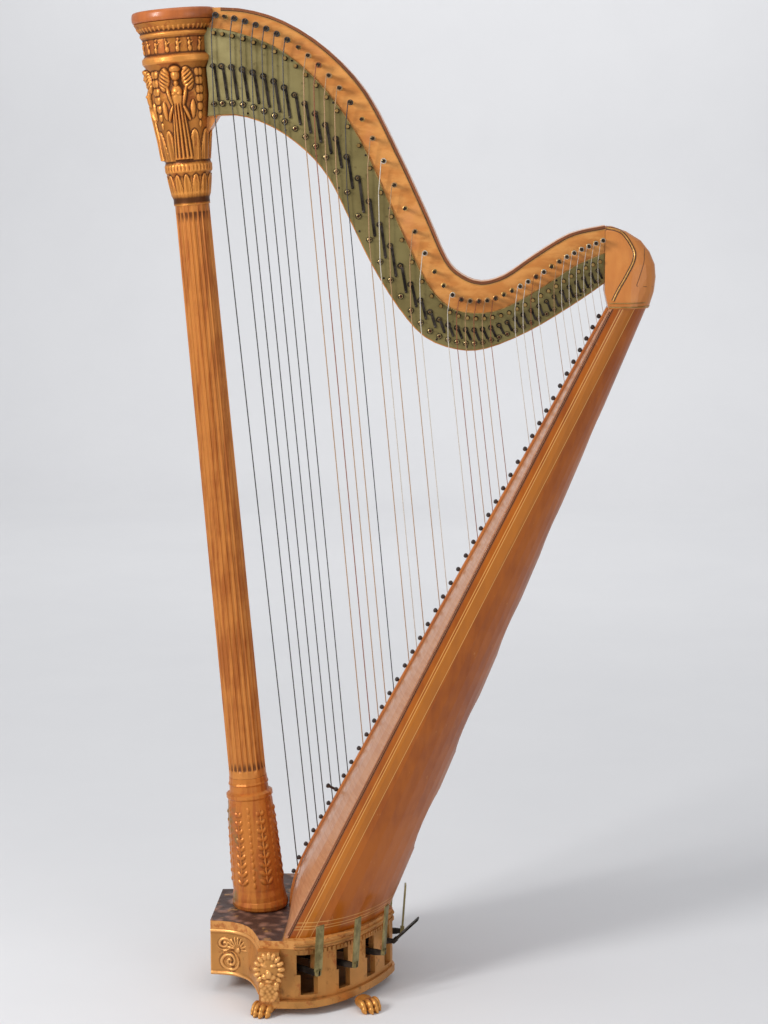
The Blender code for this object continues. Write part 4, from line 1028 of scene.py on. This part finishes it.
STRING_KINDS = {
    "wire": string_finish("wound_wire", (0.10, 0.095, 0.090), (0.035, 0.033, 0.032), 0.6, 0.4),
    "black": string_finish("black_gut", (0.045, 0.040, 0.045), (0.02, 0.02, 0.02), 0.0, 0.4),
    "red": string_finish("red_gut", (0.30, 0.095, 0.035), (0.20, 0.055, 0.025), 0.0, 0.4),
    "tan": string_finish("tan_gut", (0.46, 0.27, 0.13), (0.30, 0.165, 0.080), 0.0, 0.35),
    "pale": string_finish("pale_gut", (0.62, 0.56, 0.48), (0.46, 0.40, 0.33), 0.0, 0.3),
}
NUMBERED = {
    "wire": set(range(1, 9)),
    "red": {11, 25, 27, 29, 34},
    "tan": {10, 12, 13, 16, 18, 20, 26, 28, 37},
    "pale": {17, 21, 24, 32, 33, 35, 38, 39, 40, 41, 42, 43},
}
NUMBERED["black"] = set(range(1, STRINGS + 1)).difference(*NUMBERED.values())
PIN_RADIUS, TURNS_ON_PIN = 0.0032, 4
for kind, material in STRING_KINDS.items():
    bundle = bmesh.new()
    for string in strings:
        if string["index"] + 1 not in NUMBERED[kind] - MISSING:
            continue
        radius = string["radius"]
        past_pin = string["pin"] + Vector((-PIN_RADIUS - radius - GAP, 0))
        rounded_bar(bundle, [in_plane(string["foot"], 0) - ACROSS * 0.0005,
                             in_plane(string["lower"], STRING_Y),
                             in_plane(string["above"], STRING_Y),
                             in_plane(past_pin, STRING_Y - 0.004)], radius)
        for loop in range(TURNS_ON_PIN):
            centre = in_plane(string["pin"], STRING_Y - 0.0042 - loop * radius * 2.1)
            reach = PIN_RADIUS + 0.0001 + radius
            ring = [centre + Vector((reach * cos(t), -radius * t / pi, reach * sin(t)))
                    for t in spread(0.0, 2 * pi, 15)]
            rounded_bar(bundle, ring, radius * 0.95, 5)
    made(f"strings_{kind}", bundle, material, "gut_string")


# ---------------------------------------------------------------- neck
# The neck is laminated maple under a thin striped veneer, edged with black and gilt lines. Steel
# tuning pins go right through it, with square ends for the key on the far side.
def neck_finish():
    """Striped veneer, and dark steel wherever a pin stands proud of the neck's faces."""
    finish = Finish("neck_veneer_finish", coat=0.1)
    stripes = finish.noise(55.0, 4.0, (0.35, 1.0, 1.0), (0.0, radians(-35), 0.0))
    cloud = finish.noise(9.0, 4.0)
    wood = finish.mixed(stripes.rise(0.38, 0.62), (0.64, 0.275, 0.070), (0.52, 0.190, 0.040))
    wood = finish.mixed(cloud.rise(0.52, 0.72) * 0.6, wood, (0.58, 0.210, 0.085))
    y = finish.axis("Y").size()
    pin = y.rise(NECK_HALF + 0.0002, NECK_HALF + 0.0004)
    steel = finish.mixed(finish.noise(500.0, 3.0).rise(0.4, 0.6), (0.065, 0.050, 0.040),
                         (0.020, 0.016, 0.013))
    finish.feed(finish.shader, "Metallic", pin * 0.85)
    finish.feed(finish.shader, "Roughness", stripes * 0.15 + 0.22 + pin * 0.12)
    finish.feed(finish.shader, "Coat Weight", (1 - pin) * 0.12)
    return finish.paint(finish.mixed(pin, wood, steel), stripes, 0.0003, 0.2)


dress("neck", neck_finish())
line_black = mottled("edge_black", (0.030, 0.016, 0.010), (0.085, 0.040, 0.018), (80.0, 4.0),
                     (0.3, 0.7), (0.0002, 0.2), roughness=0.35)
line_gold = gilded("edge_gilding", (0.58, 0.30, 0.085), RED_CLAY, BROWN_DIRT_AND_SHADE, 0.58)


def ribbon(name, path, inset, width, proud, material, slot):
    """A thin inlaid strip on both faces of the neck, at a distance inside its outline."""
    bm = bmesh.new()
    line = [p for p in path if p.x > -0.297]
    outer, inner = offset_path(line, inset + width / 2), offset_path(line, inset - width / 2)
    for y0, y1 in ((-NECK_HALF - proud, -NECK_HALF + 0.0004), (NECK_HALF - 0.0004, NECK_HALF + proud)):
        skin_rings(bm, [[bm.verts.new(in_plane(p, y)) for p, y in
                         ((a, y0), (b, y0), (b, y1), (a, y1))] for a, b in zip(outer, inner)])
    return made(name, bm, material, slot)


fine_top = smooth_path([tuple(p) for p in NECK_TOP], 3)
ribbon("neck_edge_bead", fine_top, -0.0022, 0.0038, 0.0006, moulding_wood, "neck_veneer")
ribbon("neck_edge_black", fine_top, -0.0051, 0.0014, 0.00035, line_black, "neck_veneer")
ribbon("neck_edge_gilt", fine_top, -0.0068, 0.0011, 0.0003, line_gold, "worn_gilding")


# ---------------------------------------------------------------- wedge and shoulder inlay
# A small wedge of pale wood is glued under the neck where it enters the capital. A gilt line between
# two dark ones is let into the shoulder block and runs on from the neck's edge, round a thin panel.
WEDGE_HALF = NECK_HALF - 0.003
wedge = bmesh.new()
skin_rings(wedge, [[wedge.verts.new((x, y, z)) for x, z in
                    ((-0.3210, 1.5330), (-0.2990, 1.5360), (-0.3120, 1.5150), (-0.3210, 1.5000))]
                   for y in (-WEDGE_HALF, WEDGE_HALF)])
made("neck_wedge", wedge, shoulder_varnish, "neck_veneer")

block = nodes["shoulder"].data
skin = BVHTree.FromPolygons([v.co for v in block.vertices], [p.vertices for p in block.polygons])
arc = smooth_path([(0.3625, 1.3480), (0.3880, 1.3405), (0.4070, 1.3147), (0.4096, 1.2960),
                   (0.3976, 1.2700), (0.3830, 1.2444), (0.3740, 1.2260)], 8)
panel = smooth_path([(0.4270, 1.3130), (0.4260, 1.2890), (0.4140, 1.2520)], 4)
panel += [Vector((0.4145, 1.2505)), Vector((0.4300, 1.2492)), Vector((0.4420, 1.2485))]
for name, line, radius, material in (("outer", offset_path(arc, 0.0021), 0.0008, line_black),
                                     ("gilt", arc, 0.0013, line_gold),
                                     ("inner", offset_path(arc, -0.0021), 0.0008, line_black),
                                     ("panel", panel, 0.0005, line_black)):
    inlay = bmesh.new()
    for sign in (-1, 1):
        spots = [skin.ray_cast(Vector((p.x, sign, p.y)), Vector((0, -sign, 0)))[0] for p in line]
        rounded_bar(inlay, [spot for spot in spots if spot], radius, 6)
    made(f"shoulder_inlay_{name}", inlay, material, "neck_veneer")


# ---------------------------------------------------------------- action plates
# Two brass plates close the neck's slot and carry the action. They have gone olive with age, and are
# paler at the bass end than along the rest of their length.
def plate_finish(name, studs):
    """Olive brass. studs turns what stands proud of the plate into dark steel."""
    finish = Finish(name, metallic=0.7)
    cloud = finish.noise(13.0, 5.0)
    streaks = finish.noise(160.0, 3.0, (1.0, 1.0, 0.06))
    spots = finish.noise(75.0, 5.0)
    x = finish.axis("X")
    brass = finish.mixed(x.rise(-0.30, -0.10), (0.40, 0.330, 0.145), (0.275, 0.220, 0.085))
    brass = finish.mixed(cloud.rise(0.35, 0.7), brass, (0.195, 0.150, 0.055))
    brass = finish.mixed(spots.rise(0.60, 0.72) * 0.6, brass, (0.110, 0.070, 0.028))
    if studs:
        proud = finish.axis("Y").fall(PLATE_FACE - 0.0004, PLATE_FACE - 0.0002)
        steel = finish.mixed(spots.rise(0.4, 0.6), (0.085, 0.062, 0.040), (0.025, 0.018, 0.013))
        brass = finish.mixed(proud, brass, steel)
    finish.feed(finish.shader, "Roughness", cloud * 0.2 + 0.30 + streaks * 0.1)
    return finish.paint(brass, streaks * 0.4 + spots * 0.4, 0.0003, 0.3)


dress("action_plate_left", plate_finish("left_plate_brass", True))
dress("action_plate_right", plate_finish("right_plate_brass", False))

# A bright brass bar along the top of each plate is a painted highlight on its edge.
edge_highlight_strip = bmesh.new()
fine_edge = [p for p in smooth_path([tuple(p) for p in PLATE_TOP], 3) if p.x > -0.316]
SUNK = PLATE_FACE + 0.0004
for y in (SUNK, -SUNK):
    rounded_bar(edge_highlight_strip, [in_plane(p, y) for p in offset_path(fine_edge, -0.0006)], 0.0007, 6)
made("plate_edge_highlights", edge_highlight_strip, ferrule_brass, "olive_brass")

# Small dark screws hold each plate to the neck, in two rows near its edges.
screws = bmesh.new()
for path, inset in ((PLATE_TOP, -0.0035), (PLATE_BOTTOM, 0.0050)):
    for spot in offset_path(path, inset)[4:-2:3]:
        for y, out in ((SUNK, -1), (-SUNK, 1)):
            add_turned_peg(screws, in_plane(spot, y), Vector((0, out, 0)),
                           [(0.0, 0.0019), (0.0007, 0.0019), (0.0010, 0.0013)], 10)
made("plate_screws", screws, dark_steel, "dark_steel")


# ---------------------------------------------------------------- links, prongs and nut tips
# A flat steel link runs down from each upper disc to the one below it. Each disc carries two steel
# prongs, and each bridge nut has a bright brass tip where the string turns over it.
links, prongs, tips = bmesh.new(), bmesh.new(), bmesh.new()
washers, centres = bmesh.new(), bmesh.new()
disc_brass = metal("disc_brass", (0.40, 0.30, 0.13), (0.17, 0.12, 0.05), 0.35, 400.0)
centre_red = metal("centre_screw", (0.11, 0.035, 0.022), (0.045, 0.018, 0.014), 0.4, 500.0)
TURNING, PRONG_TURN, OUT = range(1, 8), 0.21, Vector((0, -1, 0))
SHARES = {"upper": (0.46, 0.26), "lower": (0.70, 0.42)}
for string in strings:
    index, disc = string["index"], string["disc"]
    start = string["upper"] + Vector((disc * 0.55, -disc * 0.6))
    stop = string["lower"] + Vector((disc * 1.55, disc * 1.3))
    step = (stop - start).normalized()
    side = Vector((-step.y, step.x)) * min(0.0026, disc * 0.42)
    near, far = PLATE_FACE - 0.0002, PLATE_FACE - 0.0016
    if (stop - start).length > 0.004:
        corners = [start + side, stop + side, stop - side, start - side]
        skin_rings(links, [[links.verts.new(in_plane(c, y)) for c in corners] for y in (near, far)])
        for end in (start, stop):
            add_turned_peg(links, in_plane(end, near), OUT,
                           [(0.0, disc * 0.42), (0.0022, disc * 0.42), (0.0027, disc * 0.30)], 10)
    if index not in TURNING:
        for spot in (string["upper"], string["lower"]):
            for reach in (-disc * 0.76, disc * 0.76):
                base = spot + Vector((cos(PRONG_TURN), sin(PRONG_TURN))) * reach
                add_turned_peg(prongs, in_plane(base, PLATE_FACE - 0.0015), OUT,
                               [(0.0, disc * 0.15), (0.0085, disc * 0.15), (0.0092, disc * 0.08)], 8)
    for row, (wide, narrow) in SHARES.items():
        base = in_plane(string[row], PLATE_FACE - 0.0019)
        turning = index in TURNING
        washer, screw = (bmesh.new(), bmesh.new()) if turning else (washers, centres)
        add_turned_peg(washer, base, OUT,
                       [(0.0, disc * wide), (0.0006, disc * wide), (0.0009, disc * wide * 0.9)], 16)
        add_turned_peg(screw, base, OUT, [(0.0008, disc * narrow), (0.0016, disc * narrow),
                                          (0.0019, disc * narrow * 0.7)], 12)
        if turning:
            body = f"fork_disc_{row}_{'CDEFGAB'[index % 7].lower()}"
            made(f"washer_{row}_{index}", washer, disc_brass, "olive_brass", body)
            made(f"disc_screw_{row}_{index}", screw, centre_red, "dark_steel", body)
    add_turned_peg(prongs, in_plane(string["nut"], PLATE_FACE + 0.0002), OUT,
                   [(0.0, 0.0040), (0.0050, 0.0040), (0.0058, 0.0034)], 12)
    add_turned_peg(tips, in_plane(string["nut"], STRING_Y - 0.0048), OUT,
                   [(0.0, 0.0029), (0.0008, 0.0031), (0.0016, 0.0024)], 12)
    add_turned_peg(tips, in_plane(string["pin"], -NECK_HALF + 0.0002), OUT,
                   [(0.0, 0.0044), (0.0006, 0.0044), (0.0009, 0.0038)], 12)
made("link_bars", links, dark_steel, "dark_steel")
made("disc_prongs", prongs, dark_steel, "dark_steel")
made("disc_washers", washers, disc_brass, "olive_brass")
made("disc_centres", centres, centre_red, "dark_steel")
made("nut_tips", tips, ferrule_brass, "olive_brass")


# ---------------------------------------------------------------- floor, light and camera
# A pale floor curves up into a pale wall. One broad light stands to the left, with a weaker one on
# the right and a soft room all round.
FLOOR_END, COVE_RADIUS, WALL_TOP, WALL_HALF = 5.5, 1.5, 9.0, 10.0
backdrop = bmesh.new()
profile = [(-9.0, 0.0), (FLOOR_END, 0.0)]
for k in range(1, 11):
    turn = radians(9 * k)
    profile.append((FLOOR_END + COVE_RADIUS * sin(turn), COVE_RADIUS * (1 - cos(turn))))
profile.append((FLOOR_END + COVE_RADIUS, WALL_TOP))
rows = [[backdrop.verts.new((x, y, z - 0.0002)) for y, z in profile] for x in (-WALL_HALF, WALL_HALF)]
for i in range(len(profile) - 1):
    backdrop.faces.new((rows[0][i], rows[0][i + 1], rows[1][i + 1], rows[1][i]))
sheet = bpy.data.meshes.new("backdrop")
backdrop.to_mesh(sheet)
backdrop.free()
sheet.shade_smooth()
backdrop = bpy.data.objects.new("backdrop", sheet)
bpy.context.scene.collection.objects.link(backdrop)
cloth = Finish("pale_cloth", roughness=0.8)
weave = cloth.noise(1.6, 4.0)
sheet.materials.append(cloth.paint(cloth.mixed(weave, (0.72, 0.72, 0.73), (0.78, 0.78, 0.785)),
                                   weave, 0.02, 0.15))


def soft_light(name, place, target, width, height, power):
    """A broad lamp that looks at a target."""
    lamp = bpy.data.lights.new(name, "AREA")
    lamp.shape = "RECTANGLE"
    lamp.size, lamp.size_y = width, height
    lamp.energy = power
    light = bpy.data.objects.new(name, lamp)
    light.location = place
    aim = Vector(target) - Vector(place)
    light.rotation_euler = aim.to_track_quat("-Z", "Y").to_euler()
    bpy.context.scene.collection.objects.link(light)


soft_light("window_left", (-2.6, -2.4, 2.4), (0.0, 0.0, 0.9), 0.8, 1.3, 105.0)
soft_light("fill_right", (2.8, -2.6, 1.6), (0.0, 0.0, 0.8), 2.2, 2.2, 24.0)
soft_light("top_soft", (0.0, -0.6, 3.6), (0.0, 0.0, 0.8), 2.6, 2.6, 26.0)
soft_light("wall_wash", (0.0, 3.6, 4.5), (0.0, 7.0, 1.0), 5.0, 1.5, 115.0)
world = bpy.data.worlds.new("room")
bpy.context.scene.world = world
world.use_nodes = True
world.node_tree.nodes["Background"].inputs["Color"].default_value = (0.93, 0.95, 1.0, 1.0)
world.node_tree.nodes["Background"].inputs["Strength"].default_value = 0.46
bpy.context.scene.view_settings.view_transform = "Standard"

lens = bpy.data.cameras.new("camera")
lens.lens = 80.3
lens.sensor_width = 36.0
lens.sensor_fit = "AUTO"
camera = bpy.data.objects.new("camera", lens)
camera.location = (0.2175, -3.94, 1.4778)
camera.rotation_euler = (radians(90 - 8.994), 0.0, radians(3.409))
bpy.context.scene.collection.objects.link(camera)
bpy.context.scene.camera = camera
